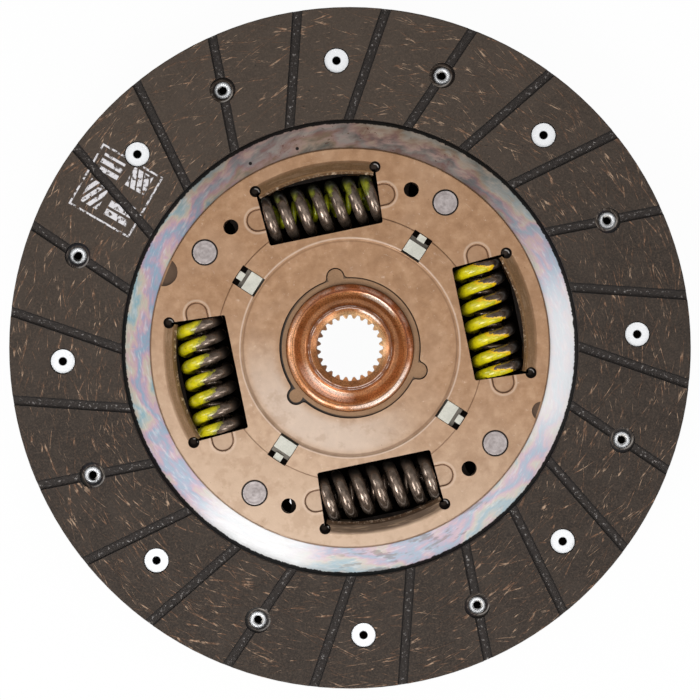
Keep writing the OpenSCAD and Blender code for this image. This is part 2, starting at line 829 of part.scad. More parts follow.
module coil_spring(d, wire, turns, length) {
  mean_r = (d - wire) / 2;
  n = round(2 * turns);
  // The end turns are wound nearly closed, then ground flat
  span = length - 0.4 * wire;
  end_rise = 0.55 * wire;
  open_rise = (span - 2 * end_rise) / (n - 2);
  intersection() {
    union() {
      for (i = [0 : n - 1]) {
        rise = i == 0 || i == n - 1 ? end_rise : open_rise;
        start = i == 0 ? 0 : end_rise + (i - 1) * open_rise;
        translate([0, 0, start + rise / 2 - span / 2])
          rotate(180 * (i % 2)) half_turn(mean_r, wire, atan(rise / 2 / mean_r));
      }
      for (i = [1 : n - 1])
        translate([0, 0, end_rise + (i - 1) * open_rise - span / 2])
          rotate(180 * (i % 2)) collar(mean_r, wire);
    }
    cube([2 * d, 2 * d, length], center = true);
  }
}

module in_window(i) {
  rotate(pattern_angle + i * spring_step) translate([spring_r, 0, spring_z])
    rotate([0, 0, 180]) rotate([90, 0, 0]) children();
}

module outer_spring(i) {
  color([0.33, 0.29, 0.28]) in_window(i)
    coil_spring(outer_spring_d, outer_wire_d, outer_turns, spring_length);
}

module inner_spring(i) {
  color([0.25, 0.23, 0.2]) in_window(i) mirror([0, 1, 0])
    coil_spring(inner_spring_d, inner_wire_d, inner_turns, spring_length);
}

front_facing();
rear_facing();
front_facing_rivets();
rear_facing_rivets();
cushion_disc();
front_cover();
rear_cover();
stop_pins();
hub();
drive_flange();
front_bush();
rear_bush();
front_friction_ring();
rear_friction_ring();
thrust_ring();
disc_spring();
outer_spring(0);  // right_outer_spring
outer_spring(1);  // top_outer_spring
outer_spring(2);  // left_outer_spring
outer_spring(3);  // bottom_outer_spring
inner_spring(0);  // right_inner_spring
inner_spring(1);  // top_inner_spring
inner_spring(2);  // left_inner_spring
inner_spring(3);  // bottom_inner_spring
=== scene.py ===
import json
import math

import bpy
from mathutils import Matrix, Vector

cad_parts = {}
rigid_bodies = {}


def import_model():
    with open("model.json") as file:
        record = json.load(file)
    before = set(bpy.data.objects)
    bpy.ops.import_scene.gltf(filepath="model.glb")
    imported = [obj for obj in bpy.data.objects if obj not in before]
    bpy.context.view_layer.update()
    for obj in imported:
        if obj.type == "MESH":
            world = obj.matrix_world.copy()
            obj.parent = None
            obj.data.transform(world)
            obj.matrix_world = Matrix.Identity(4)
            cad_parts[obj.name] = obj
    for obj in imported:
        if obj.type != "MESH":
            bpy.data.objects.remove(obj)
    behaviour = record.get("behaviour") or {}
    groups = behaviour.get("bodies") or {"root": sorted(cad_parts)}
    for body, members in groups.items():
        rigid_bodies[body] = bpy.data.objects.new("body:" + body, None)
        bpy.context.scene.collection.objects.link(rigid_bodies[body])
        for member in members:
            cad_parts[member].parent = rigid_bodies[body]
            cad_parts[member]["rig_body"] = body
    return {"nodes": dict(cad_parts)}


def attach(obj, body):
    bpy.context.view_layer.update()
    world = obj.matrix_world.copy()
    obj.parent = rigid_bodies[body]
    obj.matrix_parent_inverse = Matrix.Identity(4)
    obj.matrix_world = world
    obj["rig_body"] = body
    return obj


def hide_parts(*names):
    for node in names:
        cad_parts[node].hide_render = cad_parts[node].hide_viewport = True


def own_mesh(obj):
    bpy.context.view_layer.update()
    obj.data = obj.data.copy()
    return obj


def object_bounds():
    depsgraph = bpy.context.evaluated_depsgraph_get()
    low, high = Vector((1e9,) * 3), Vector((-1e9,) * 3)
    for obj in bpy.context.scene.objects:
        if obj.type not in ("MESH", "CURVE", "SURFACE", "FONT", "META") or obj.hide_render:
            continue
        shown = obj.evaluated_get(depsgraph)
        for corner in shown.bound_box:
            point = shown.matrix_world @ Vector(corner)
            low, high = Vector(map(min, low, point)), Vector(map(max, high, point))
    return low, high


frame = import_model()
cad_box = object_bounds()

MM = 0.001
# The photograph: its width in pixels, the millimetres in a pixel, and how many pixels the
# disc's axis lies above its middle
PHOTO_PIXELS = 700
PHOTO_MM = 0.3344
PHOTO_RISE = 2.2

# The disc's pattern, in degrees and millimetres
WINDOW_ANGLE = 11.7
PIN_ANGLE = 56.7
WINDOW_STEP = 90
SPRING_R = 48.0
SPRING_Z = -5.0
PIN_R = 58.2
RIVET_ANGLE = 2.7
ACCESS_ANGLE = 26.6
RIVET_STEP = 45
RIVET_R = 96.2
FLIP_ANGLE = (RIVET_ANGLE + ACCESS_ANGLE) / 2
GROOVE_ANGLE = -3.9
GROOVE_STEP = 15.0
GROOVE_OFFSET = 25.2
FACING_MIDDLE_R = 89
FACING_FRONT_Z = 4.4
# The front cover: its bore, folds and window lips, and the pads and relief holes of a window
COVER_BORE_R = 23.7
LOBE_CIRCLE_R = 24.2
LOBE_R = 3.1
FOLD_R = 36.7
FLAP_BEND_R = 62.7
WINDOW_LIP = 38.8
PAD_REACH = 21.66
PAD_R = 3.5
RELIEF_ANGLE = 19.53
RELIEF_R = 61.18
# Lines across the covers that pass through their windows and holes
COVER_CUTS = (11.7, 56.7, 68.8, 101.7, 134.6, 146.7)

# The coil springs
OUTER_COIL = dict(wire_d=4.0, coil_d=17.4, turns=6.5, facets=24)
INNER_COIL = dict(wire_d=1.9, coil_d=8.6, turns=10.5, facets=14, left_handed=True)
COIL_LENGTH = 38.5
OUTER_PITCH = 5.91

# Modelling, in metres and degrees
WELD = 2e-6
FLAT_ANGLE = 0.6
SHARP_ANGLE = 25
SMOOTH_ANGLE = 30
COIL_SMOOTH_ANGLE = 40

# The stage, in metres
FLOOR_SIZE = 6
FLOOR_GAP = 0.0003
CAMERA_HEIGHT = 1.5
SENSOR_MM = 36
SHADOW_FROM_R = 0.106
SHADOW_TO_R = 0.116
BORE_LIGHT_R = 0.0135
SLIVER_PLACE = (-0.0192, -0.0520, 0)
SLIVER_R = 0.0013
PAPER_GLOW = 0.97


def tone(red, green, blue):
    """Colour of a swatch as read, as the shader wants it."""
    def linear(part):
        part = part / 255
        return part / 12.92 if part <= 0.04045 else ((part + 0.055) / 1.055) ** 2.4
    return (linear(red), linear(green), linear(blue), 1.0)


class Shading:
    """A material whose nodes are being laid, with the sums that its patterns are made of."""

    def __init__(self, name):
        self.material = bpy.data.materials.new(name)
        self.material.use_nodes = True
        self.tree = self.material.node_tree
        self.tree.nodes.clear()
        self.output = self.add("ShaderNodeOutputMaterial")
        self.coords = self.add("ShaderNodeTexCoord").outputs["Object"]

    def add(self, kind, **settings):
        node = self.tree.nodes.new(kind)
        for name, value in settings.items():
            setattr(node, name, value)
        return node

    def feed(self, socket, value):
        if isinstance(value, bpy.types.NodeSocket):
            self.tree.links.new(value, socket)
        else:
            socket.default_value = value

    def maths(self, operation, a, b=0.0):
        node = self.add("ShaderNodeMath", operation=operation)
        self.feed(node.inputs[0], a)
        self.feed(node.inputs[1], b)
        return node.outputs[0]

    def total(self, first, *others):
        for other in others:
            first = self.maths("ADD", first, other)
        return first

    def product(self, first, *others):
        for other in others:
            first = self.maths("MULTIPLY", first, other)
        return first

    def minus(self, a, b):
        return self.maths("SUBTRACT", a, b)

    def absolute(self, value):
        return self.maths("ABSOLUTE", value)

    def either(self, a, b):
        return self.maths("MAXIMUM", a, b)

    def hypot(self, a, b):
        square = self.total(self.product(a, a), self.product(b, b))
        return self.maths("SQRT", square)

    def blend(self, share, a, b, mode="MIX"):
        node = self.add("ShaderNodeMix", data_type="RGBA", blend_type=mode)
        self.feed(node.inputs[0], share)
        self.feed(node.inputs[6], a)
        self.feed(node.inputs[7], b)
        return node.outputs[2]


class Finish(Shading):
    """A surface finish being mixed. Places are in millimetres in the disc's own frame."""

    def __init__(self, name, metallic=0.0, mirrored=False):
        super().__init__(name)
        self.shader = self.add("ShaderNodeBsdfPrincipled")
        self.feed(self.output.inputs["Surface"], self.shader.outputs["BSDF"])
        self.shader.inputs["Metallic"].default_value = metallic
        scaled = self.add("ShaderNodeVectorMath", operation="SCALE")
        self.feed(scaled.inputs["Vector"], self.coords)
        scaled.inputs["Scale"].default_value = 1 / MM
        self.place = scaled.outputs["Vector"]
        parts = self.add("ShaderNodeSeparateXYZ")
        self.feed(parts.inputs[0], self.place)
        self.x, self.y, self.z = parts.outputs
        self.r = self.hypot(self.x, self.y)
        angle = self.maths("ARCTAN2", self.y, self.x)
        self.angle = self.product(angle, 180 / math.pi)
        if mirrored:
            self.angle = self.minus(2 * FLIP_ANGLE, self.angle)

    def ramp_up(self, value, low, high):
        """0 below low and 1 above high, or the other way round where low is the larger."""
        node = self.add("ShaderNodeMapRange", interpolation_type="SMOOTHSTEP")
        self.feed(node.inputs["Value"], value)
        if low < high:
            limits = (low, high, 0.0, 1.0)
        else:
            limits = (high, low, 1.0, 0.0)
        for name, limit in zip(("From Min", "From Max", "To Min", "To Max"), limits):
            node.inputs[name].default_value = limit
        return node.outputs["Result"]

    def band(self, value, low, high, soft):
        """1 between low and high, with soft ends."""
        inside = self.ramp_up(value, low - soft, low + soft)
        return self.product(inside, self.ramp_up(value, high + soft, high - soft))

    def line(self, value, middle, outer, inner):
        """1 within inner of the middle, and 0 from outer on."""
        return self.ramp_up(self.absolute(self.minus(value, middle)), outer, inner)

    def vector(self, x, y, z=0.0):
        node = self.add("ShaderNodeCombineXYZ")
        for socket, value in zip(node.inputs, (x, y, z)):
            self.feed(socket, value)
        return node.outputs[0]

    def turning(self, per_turn, per_mm, height=0.0, lean=0.0):
        """Place for a pattern that runs round the disc: features per radian, and per millimetre
        outwards.

        With a lean it moves outwards by that share of the way it goes round, measured at the
        middle of the facings.
        """
        across = self.product(self.r, per_mm)
        if lean:
            round_mm = FACING_MIDDLE_R * math.pi / 180
            across = self.total(across, self.product(self.angle, lean * per_mm * round_mm))
        if height:
            across = self.total(across, self.product(self.z, height))
        r = self.either(self.r, 0.01)
        cosine = self.maths("DIVIDE", self.x, r)
        sine = self.maths("DIVIDE", self.y, r)
        return self.vector(self.product(cosine, per_turn), self.product(sine, per_turn), across)

    def shifted(self, place, x=0.0, y=0.0, z=0.0):
        node = self.add("ShaderNodeVectorMath", operation="ADD")
        self.feed(node.inputs[0], place)
        node.inputs[1].default_value = (x, y, z)
        return node.outputs[0]

    def grain(self, place, size, detail=2.0, rough=0.5, warp=0.0):
        node = self.add("ShaderNodeTexNoise")
        self.feed(node.inputs["Vector"], place)
        node.inputs["Scale"].default_value = 1 / size
        node.inputs["Detail"].default_value = detail
        node.inputs["Roughness"].default_value = rough
        node.inputs["Distortion"].default_value = warp
        return node.outputs["Fac"]

    def tones(self, value, *stops):
        node = self.add("ShaderNodeValToRGB")
        self.feed(node.inputs[0], value)
        ramp = node.color_ramp
        ramp.elements[0].position = stops[0][0]
        ramp.elements[1].position = stops[-1][0]
        for position, colour in stops[1:-1]:
            ramp.elements.new(position)
        for element, (position, colour) in zip(ramp.elements, stops):
            element.color = colour
        return node.outputs[0]

    def lift(self, *layers):
        """Bump from (height, depth in mm) layers, one over another."""
        normal = None
        for height, depth in layers:
            node = self.add("ShaderNodeBump")
            self.feed(node.inputs["Height"], height)
            node.inputs["Distance"].default_value = depth * MM
            node.inputs["Strength"].default_value = 1.0
            if normal is not None:
                self.feed(node.inputs["Normal"], normal)
            normal = node.outputs["Normal"]
        self.feed(self.shader.inputs["Normal"], normal)

    def set(self, **values):
        for name, value in values.items():
            self.feed(self.shader.inputs[name.replace("_", " ")], value)
        return self.material

    def local(self, first, step):
        """Place in the nearest of a ring of repeats: outwards along x, and across."""
        wrapped = self.maths("FLOORED_MODULO", self.minus(self.angle, first - step / 2), step)
        near = self.product(self.minus(wrapped, step / 2), math.pi / 180)
        out = self.product(self.r, self.maths("COSINE", near))
        across = self.product(self.r, self.maths("SINE", near))
        return out, across

    def from_repeat(self, first, step, radius):
        """Place measured along x and y from the nearest of a ring of repeats."""
        turned = self.minus(self.angle, first - step / 2)
        number = self.maths("FLOOR", self.maths("DIVIDE", turned, step))
        centre = self.product(self.total(self.product(number, step), first), math.pi / 180)
        return (
            self.minus(self.x, self.product(self.maths("COSINE", centre), radius)),
            self.minus(self.y, self.product(self.maths("SINE", centre), radius)),
        )

    def facing_arc(self, centre, half_width, soft):
        """1 near an angle round the disc, falling off softly."""
        turn = self.product(self.minus(self.angle, centre), math.pi / 180)
        near = self.maths("COSINE", turn)
        outer = math.cos(math.radians(min(180, half_width + soft)))
        inner = math.cos(math.radians(max(0, half_width - soft)))
        return self.ramp_up(near, outer, inner)


# Finishes


def friction_material(name, mirrored=False, inked=False):
    """Moulded brown lining with copper strands and dark grooves, and a worn stamp if inked."""
    f = Finish(name, mirrored=mirrored)
    level = f.absolute(f.z)
    on_top = f.ramp_up(level, 3.6, 4.2)
    # Dark resin with a fine grain and soft clouds
    fine = f.grain(f.place, 0.6, 4, 0.7)
    cloud = f.grain(f.place, 9, 3, 0.55)
    resin = f.tones(
        fine, (0.3, tone(34, 27, 22)), (0.5, tone(53, 44, 37)), (0.72, tone(80, 67, 57))
    )
    resin = f.blend(f.product(f.ramp_up(cloud, 0.42, 0.66), 0.3), resin, tone(70, 60, 52))
    # Painted sheen: the resin is paler towards 105 degrees
    resin = f.blend(f.product(f.facing_arc(105, 50, 50), 0.22), resin, tone(108, 93, 80))
    pit = f.ramp_up(f.grain(f.shifted(f.place, 9, 2, 4), 1.3, 2, 0.6), 0.7, 0.76)
    resin = f.blend(f.product(pit, 0.7), resin, tone(28, 24, 21))
    # Copper strands: long broken threads in loose bunches that lie roughly round the disc
    strands = None
    for number, lean in enumerate((0.02, 0.2, -0.22, 0.42, -0.5)):
        place = f.shifted(f.turning(3.4, 0.5, lean=lean), 7 * number, 3 * number, 5 * number)
        layer = strand(f, place, 0.024, 0.57)
        strands = layer if strands is None else f.either(strands, layer)
    dashes = f.product(strand(f, f.shifted(f.turning(16, 1.1, lean=0.2), 2, 9, 1), 0.05, 0.6), 0.5)
    broken = f.ramp_up(f.grain(f.turning(40, 1.4), 1, 3, 0.7), 0.4, 0.56)
    fibre = f.product(f.either(strands, dashes), broken, on_top)
    strength = f.ramp_up(f.grain(f.place, 3.5, 3, 0.6), 0.32, 0.66)
    fibre_tone = f.tones(
        strength, (0.1, tone(98, 70, 50)), (0.6, tone(142, 104, 78)), (1.0, tone(186, 156, 130))
    )
    colour = f.blend(f.product(fibre, f.total(0.45, f.product(strength, 0.45))), resin, fibre_tone)
    # Groove floors: painted darker as shade in the recess, with a few bright flecks, between ragged
    # black edges of painted shade
    sine = f.maths("DIVIDE", GROOVE_OFFSET, f.maths("MAXIMUM", f.r, 60))
    middle = f.product(f.maths("ARCSINE", sine), 180 / math.pi)
    turned = f.minus(f.minus(f.angle, middle), GROOVE_ANGLE - GROOVE_STEP / 2)
    wrapped = f.minus(f.maths("FLOORED_MODULO", turned, GROOVE_STEP), GROOVE_STEP / 2)
    reach = f.maths("SQRT", f.minus(f.product(f.r, f.r), GROOVE_OFFSET ** 2))
    off_line = f.absolute(f.product(wrapped, reach, math.pi / 180))
    shaded_groove_floor = f.tones(fine, (0.3, tone(30, 26, 24)), (0.7, tone(58, 51, 47)))
    fleck = f.ramp_up(f.grain(f.shifted(f.place, 3, 9, 0), 1.1, 3, 0.75), 0.57, 0.66)
    fleck = f.product(fleck, f.ramp_up(off_line, 1.1, 0.7))
    shaded_groove_floor = f.blend(f.product(fleck, 0.75), shaded_groove_floor, tone(158, 152, 148))
    colour = f.blend(f.minus(1.0, on_top), colour, shaded_groove_floor)
    # Ragged black edges of painted shade along each groove
    chips = f.grain(f.place, 1.3, 3, 0.7)
    shade_edge_width = f.total(1.52, f.product(chips, 0.4))
    edge = f.product(f.ramp_up(f.minus(shade_edge_width, off_line), -0.05, 0.1), 0.85)
    edge = f.product(edge, f.ramp_up(off_line, 1.2, 1.45))
    colour = f.blend(edge, colour, tone(22, 19, 18))
    if inked:
        ink = worn_ink(f, on_top)
        colour = f.blend(ink, colour, tone(228, 225, 228))
    rough = f.total(0.58, f.product(fine, 0.25), f.product(fibre, -0.15))
    f.lift((fine, 0.12), (fibre, 0.06), (cloud, 0.3))
    return f.set(Base_Color=colour, Roughness=rough, Specular_IOR_Level=0.3)


def strand(f, place, width, keep):
    """Thin strands: the contour lines of a stretched pattern, kept only in places."""
    lines = f.absolute(f.minus(f.grain(place, 1, 1.2, 0.5), 0.5))
    kept = f.ramp_up(f.grain(f.shifted(place, 21, 17, 9), 0.6, 1, 0.5), keep, keep + 0.07)
    return f.product(f.ramp_up(lines, width, width * 0.3), kept)


def worn_ink(f, on_top):
    """A worn stamp of plain hatched blocks in a frame, pressed on the facing."""
    # u and v run along the sides of the frame, turned by 30 degrees
    dx, dy = f.minus(f.x, -78.3), f.minus(f.y, 52.6)
    u = f.total(f.product(dx, 0.866), f.product(dy, -0.5))
    v = f.total(f.product(dx, 0.5), f.product(dy, 0.866))

    def block(centre_u, centre_v, half_u, half_v):
        far_u = f.minus(f.absolute(f.minus(u, centre_u)), half_u)
        far_v = f.minus(f.absolute(f.minus(v, centre_v)), half_v)
        return f.either(far_u, far_v)

    def hatch(along, gap, share):
        off = f.minus(f.maths("FLOORED_MODULO", along, gap), gap / 2)
        return f.ramp_up(f.absolute(off), gap * share / 2 + 0.12, gap * share / 2 - 0.12)

    frame_line = f.ramp_up(f.absolute(block(0, 0, 11.3, 11.3)), 0.42, 0.22)
    dashes = f.ramp_up(f.grain(f.place, 1.9, 2, 0.6), 0.38, 0.46)
    ink = f.product(frame_line, dashes)
    hatched = [
        (block(5.2, 6.6, 3.6, 3.4), hatch(f.total(u, f.product(v, 0.4)), 2.3, 0.75)),
        (block(-5.4, 6.0, 3.9, 3.2), hatch(v, 2.6, 0.6)),
        (block(-5.6, -4.6, 3.4, 4.2), hatch(f.total(u, f.product(v, -0.5)), 2.6, 0.6)),
        (block(4.6, -5.4, 4.2, 3.6), hatch(v, 3.1, 0.7)),
    ]
    for shape, lines in hatched:
        ink = f.either(ink, f.product(f.ramp_up(shape, 0.15, -0.15), lines))
    wear = f.ramp_up(f.grain(f.place, 2.3, 4, 0.75), 0.4, 0.5)
    return f.product(ink, wear, on_top, 0.95)


def rivet_metal(name, first, closed=False):
    """Bright zinc, painted dark down the bore as shade; where the end is closed it shows a dimple.
    """
    f = Finish(name, metallic=0.4)
    fine = f.grain(f.place, 0.5, 3, 0.6)
    colour = f.tones(fine, (0.3, tone(238, 240, 243)), (0.7, tone(253, 254, 255)))
    dirt_and_shade = f.ramp_up(f.grain(f.place, 1.6, 3, 0.6), 0.62, 0.75)
    colour = f.blend(f.product(dirt_and_shade, 0.35), colour, tone(150, 144, 138))
    dx, dy = f.from_repeat(first, RIVET_STEP, RIVET_R)
    from_centre = f.hypot(dx, dy)
    bore = f.ramp_up(from_centre, 1.62, 1.3)
    if closed:
        # The dimple is painted with shade on one side and a highlight on the other
        dimple = f.tones(
            f.ramp_up(f.total(dx, dy), -1.2, 0.9),
            (0.2, tone(8, 6, 5)), (0.5, tone(120, 114, 108)), (0.8, tone(214, 210, 204)),
        )
        colour = f.blend(bore, colour, dimple)
        rim = f.product(f.band(from_centre, 1.5, 1.62, 0.1), 0.6)
        colour = f.blend(rim, colour, tone(70, 64, 58))
    else:
        # Painted shade fills the open bore
        colour = f.blend(f.product(bore, 0.99), colour, tone(7, 5, 4))
    f.lift((fine, 0.03))
    return f.set(Base_Color=colour, Roughness=f.total(0.3, f.product(fine, 0.2)))


def plated_ring(name):
    """Zinc plating whose passivation runs round the ring in rainbow bands."""
    f = Finish(name, metallic=0.8)
    flow = f.grain(f.turning(3.0, 0.06), 1, 2, 0.5, 0.5)
    wander = f.grain(f.turning(11, 0.34, lean=0.12), 1, 3, 0.6, 0.3)
    film = f.total(f.product(flow, 3.4), f.product(wander, 1.6), f.product(f.r, 0.15))
    film = f.maths("PINGPONG", film, 1.0)
    bands = f.tones(
        film,
        (0.0, tone(150, 186, 198)), (0.2, tone(184, 196, 194)), (0.38, tone(214, 202, 184)),
        (0.52, tone(216, 188, 184)), (0.66, tone(210, 174, 190)), (0.82, tone(180, 174, 198)),
        (1.0, tone(154, 182, 204)),
    )
    brush = f.grain(f.turning(14, 3.2), 1, 3, 0.6)
    colour = f.blend(f.product(f.ramp_up(brush, 0.42, 0.75), 0.3), bands, tone(166, 156, 156))
    streak = f.grain(f.shifted(f.turning(16, 1.1, lean=0.1), 4, 1, 3), 1, 2, 0.6)
    colour = f.blend(f.product(f.ramp_up(streak, 0.52, 0.7), 0.4), colour, tone(238, 238, 240))
    # Painted shade: darker and browner towards the top (+y), and a little darker at the left; a
    # painted sheen makes it paler round the lower half
    shade_towards_top = f.facing_arc(86, 26, 44)
    colour = f.blend(f.product(shade_towards_top, 0.97), colour, tone(176, 154, 138), mode="MULTIPLY")
    shaded_tones = f.tones(wander, (0.38, tone(92, 76, 64)), (0.62, tone(158, 142, 130)))
    colour = f.blend(f.product(shade_towards_top, 0.6), colour, shaded_tones)
    # Painted shade at the left
    left = f.product(f.facing_arc(180, 22, 20), 0.6)
    colour = f.blend(left, colour, tone(224, 227, 226), mode="MULTIPLY")
    # Painted sheen round the lower half
    pale = f.product(f.facing_arc(-60, 90, 25), 0.25)
    colour = f.blend(pale, colour, tone(240, 238, 242))
    # Nearly white painted highlights at two places round the ring, and grey rubbed patches
    ring_highlights = f.either(
        f.product(f.facing_arc(244, 13, 9), 0.93), f.product(f.facing_arc(357, 14, 14), 0.72)
    )
    colour = f.blend(ring_highlights, colour, tone(252, 252, 252))
    rub = f.ramp_up(f.grain(f.turning(9, 0.5), 1, 3, 0.6), 0.54, 0.62)
    rub = f.product(rub, f.facing_arc(290, 22, 8), 0.6)
    colour = f.blend(rub, colour, tone(150, 138, 134))
    rust = f.ramp_up(f.grain(f.turning(70, 1.2), 1, 2, 0.6), 0.62, 0.68)
    patch = f.ramp_up(f.grain(f.turning(8, 0.3), 1, 1, 0.5), 0.5, 0.58)
    rust = f.product(rust, patch, f.facing_arc(84, 24, 12), 0.85)
    colour = f.blend(rust, colour, tone(84, 54, 44))
    # Two pierced dots
    for x, y in ((-33.4, 61.8), (-17.7, 66.8)):
        far = f.hypot(f.minus(f.x, x), f.minus(f.y, y))
        colour = f.blend(f.ramp_up(far, 0.7, 0.45), colour, tone(30, 26, 26))
    # Brown oil under the facings. In their holes the rolled rivets stand in a dirty seat with a
    # painted glint on one side
    oil = f.tones(
        brush, (0.4, tone(50, 42, 35)), (0.55, tone(82, 70, 60)), (0.7, tone(164, 154, 144))
    )
    dx, dy = f.from_repeat(ACCESS_ANGLE, RIVET_STEP, RIVET_R)
    from_rivet = f.hypot(*f.from_repeat(RIVET_ANGLE, RIVET_STEP, RIVET_R))
    in_hole = f.maths("MINIMUM", f.hypot(dx, dy), from_rivet)
    seat_glint = f.product(f.band(in_hole, 3.3, 3.7, 0.15), f.ramp_up(f.minus(dx, dy), 2.6, 4.4))
    oil = f.blend(f.product(seat_glint, 0.6), oil, tone(206, 200, 194))
    joint = f.either(f.ramp_up(in_hole, 3.8, 4.05), f.ramp_up(in_hole, 3.25, 3.0))
    oil = f.blend(f.product(joint, 0.92), oil, tone(12, 9, 8))
    colour = f.blend(f.product(f.ramp_up(f.r, 80, 84), 0.96), colour, oil)
    # Black shade painted under the facing's ragged inner edge, and a painted shadow line at the
    # cover's edge
    ragged = f.total(f.r, f.product(f.grain(f.place, 1.4, 3, 0.7), 1.1))
    shade = f.product(f.ramp_up(ragged, 75.7, 75.95), f.ramp_up(f.r, 84, 80), 0.98)
    colour = f.blend(shade, colour, tone(9, 7, 6))
    colour = f.blend(f.product(f.ramp_up(f.r, 67.35, 67.1), 0.6), colour, tone(70, 48, 34))
    f.lift((brush, 0.02), (wander, 0.1))
    return f.set(Base_Color=colour, Roughness=f.total(0.26, f.product(brush, 0.12)))


def cover_metal(name, rear=False):
    """Phosphated and oiled pressing: brown tan, mottled, darker in its creases."""
    f = Finish(name, metallic=0.3)
    fine = f.grain(f.place, 0.55, 3, 0.65)
    mottle = f.grain(f.place, 3.5, 4, 0.6)
    cloud = f.grain(f.place, 18, 2, 0.5)
    colour = f.tones(
        mottle, (0.3, tone(158, 118, 84)), (0.5, tone(174, 133, 98)), (0.72, tone(192, 152, 117))
    )
    colour = f.blend(f.product(fine, 0.3), colour, tone(142, 108, 80))
    colour = f.blend(f.product(f.ramp_up(cloud, 0.45, 0.7), 0.25), colour, tone(190, 156, 128))
    # A paler painted sheen over one side, stronger inside the raised ring
    side = f.total(f.product(f.x, -0.26), f.product(f.y, -0.966), f.product(mottle, 24))
    colour = f.blend(f.product(f.ramp_up(side, -2, 88), 0.8), colour, tone(214, 188, 164))
    sheen_patch = f.product(f.facing_arc(243, 45, 35), f.band(f.r, 25, 35, 2), 0.5)
    colour = f.blend(sheen_patch, colour, tone(228, 212, 198))
    blotch = f.ramp_up(f.grain(f.shifted(f.place, 5, 2, 6), 6.5, 3, 0.65), 0.5, 0.64)
    colour = f.blend(f.product(blotch, 0.25), colour, tone(150, 112, 80))
    # Small stains and scratches
    stain = f.ramp_up(f.grain(f.shifted(f.place, 4, 8, 1), 1.5, 3, 0.7), 0.69, 0.77)
    colour = f.blend(f.product(stain, 0.55), colour, tone(104, 78, 56))
    scratch = f.ramp_up(f.grain(f.turning(5, 5.2), 1, 2, 0.5, 0.7), 0.74, 0.78)
    colour = f.blend(f.product(scratch, 0.35), colour, tone(222, 204, 186))
    pale_speck = f.ramp_up(f.grain(f.shifted(f.place, 2, 1, 7), 1.6, 4, 0.75), 0.6, 0.74)
    colour = f.blend(f.product(pale_speck, 0.45), colour, tone(228, 206, 188))
    if not rear:
        colour = cover_creases(f, colour, fine)
    f.lift((fine, 0.03), (mottle, 0.05))
    rough = f.total(0.36, f.product(fine, 0.16), f.product(stain, 0.2))
    return f.set(Base_Color=colour, Roughness=rough)


def cover_creases(f, colour, fine):
    """Dirt in the pressed lines, painted highlights and shade beside them, painted shade on the
    flaps and walls.
    """
    out, across = f.local(WINDOW_ANGLE, WINDOW_STEP)
    across = f.absolute(across)
    # D-shaped pads at the ends of a window
    beyond = f.maths("MAXIMUM", f.minus(across, PAD_REACH), 0.0)
    from_pad = f.minus(f.hypot(f.minus(out, SPRING_R), beyond), PAD_R)
    past_window = f.ramp_up(across, 19.0, 19.6)
    # A painted highlight along each pad's rim
    rim = f.product(f.band(from_pad, 0.5, 1.1, 0.35), past_window, 0.55)
    colour = f.blend(rim, colour, tone(216, 190, 168))
    crease = f.product(f.ramp_up(f.absolute(from_pad), 0.4, 0.15), past_window, 0.85)
    colour = f.blend(crease, colour, tone(96, 60, 32))
    # Edges of the raised ring: a painted highlight on the fold inside with painted shade at its
    # foot, a hairline outside
    foot_shade = f.product(f.line(f.r, 35.8, 0.5, 0.1), 0.45)
    colour = f.blend(foot_shade, colour, tone(112, 78, 50))
    fold_highlight = f.product(f.line(f.r, 36.8, 0.45, 0.15), 0.5)
    colour = f.blend(fold_highlight, colour, tone(226, 204, 186))
    hairline = f.product(f.line(f.r, 44.75, 0.28, 0.08), 0.6)
    colour = f.blend(hairline, colour, tone(104, 72, 46))
    # Flaps: painted shade past the bend, darkest on the flap at 281 degrees; the sheared free edge
    # has a darker line with painted glints
    from_slit = f.minus(across, f.product(f.minus(out, WINDOW_LIP), 0.0612))
    on_flap = f.product(f.ramp_up(f.r, 63.0, 61.4), f.ramp_up(f.r, 57, 57.6))
    on_flap = f.product(on_flap, f.ramp_up(from_slit, 19.35, 19.15), f.ramp_up(f.z, 2.3, 2.62))
    shaded_flap_tone = f.tones(fine, (0.3, tone(112, 82, 50)), (0.7, tone(144, 110, 76)))
    shaded_flap_tone = f.blend(f.product(f.facing_arc(281, 20, 8), 0.95), shaded_flap_tone, tone(46, 29, 12))
    colour = f.blend(f.product(on_flap, 0.9), colour, shaded_flap_tone)
    streak = f.ramp_up(f.grain(f.turning(9, 1.6), 1, 2, 0.6), 0.52, 0.68)
    colour = f.blend(f.product(on_flap, streak, 0.35), colour, tone(176, 148, 120))
    sheared = f.product(on_flap, f.ramp_up(f.r, 59.1, 58.8))
    sparkle = f.ramp_up(f.grain(f.turning(50, 0.8), 1, 3, 0.8), 0.5, 0.66)
    colour = f.blend(f.product(sheared, 0.7), colour, tone(92, 66, 44))
    # Painted glints along the sheared edge
    colour = f.blend(f.product(sheared, sparkle, 0.75), colour, tone(222, 198, 172))
    # Painted shade on the walls of the windows and holes, and the pin's dark joint
    wall_shade = f.ramp_up(f.z, 2.1, 1.5)
    inside = f.ramp_up(f.r, 66.6, 66.2)
    colour = f.blend(f.product(wall_shade, inside, 0.85), colour, tone(52, 34, 22))
    out, across = f.local(PIN_ANGLE, WINDOW_STEP)
    from_pin = f.hypot(f.minus(out, PIN_R), across)
    colour = f.blend(f.product(f.ramp_up(from_pin, 4.6, 4.35), 0.9), colour, tone(36, 26, 20))
    # The outer edge and the wall under it
    rim_edge = f.product(f.ramp_up(f.r, 66.3, 66.8), 0.6)
    return f.blend(rim_edge, colour, tone(112, 80, 54))


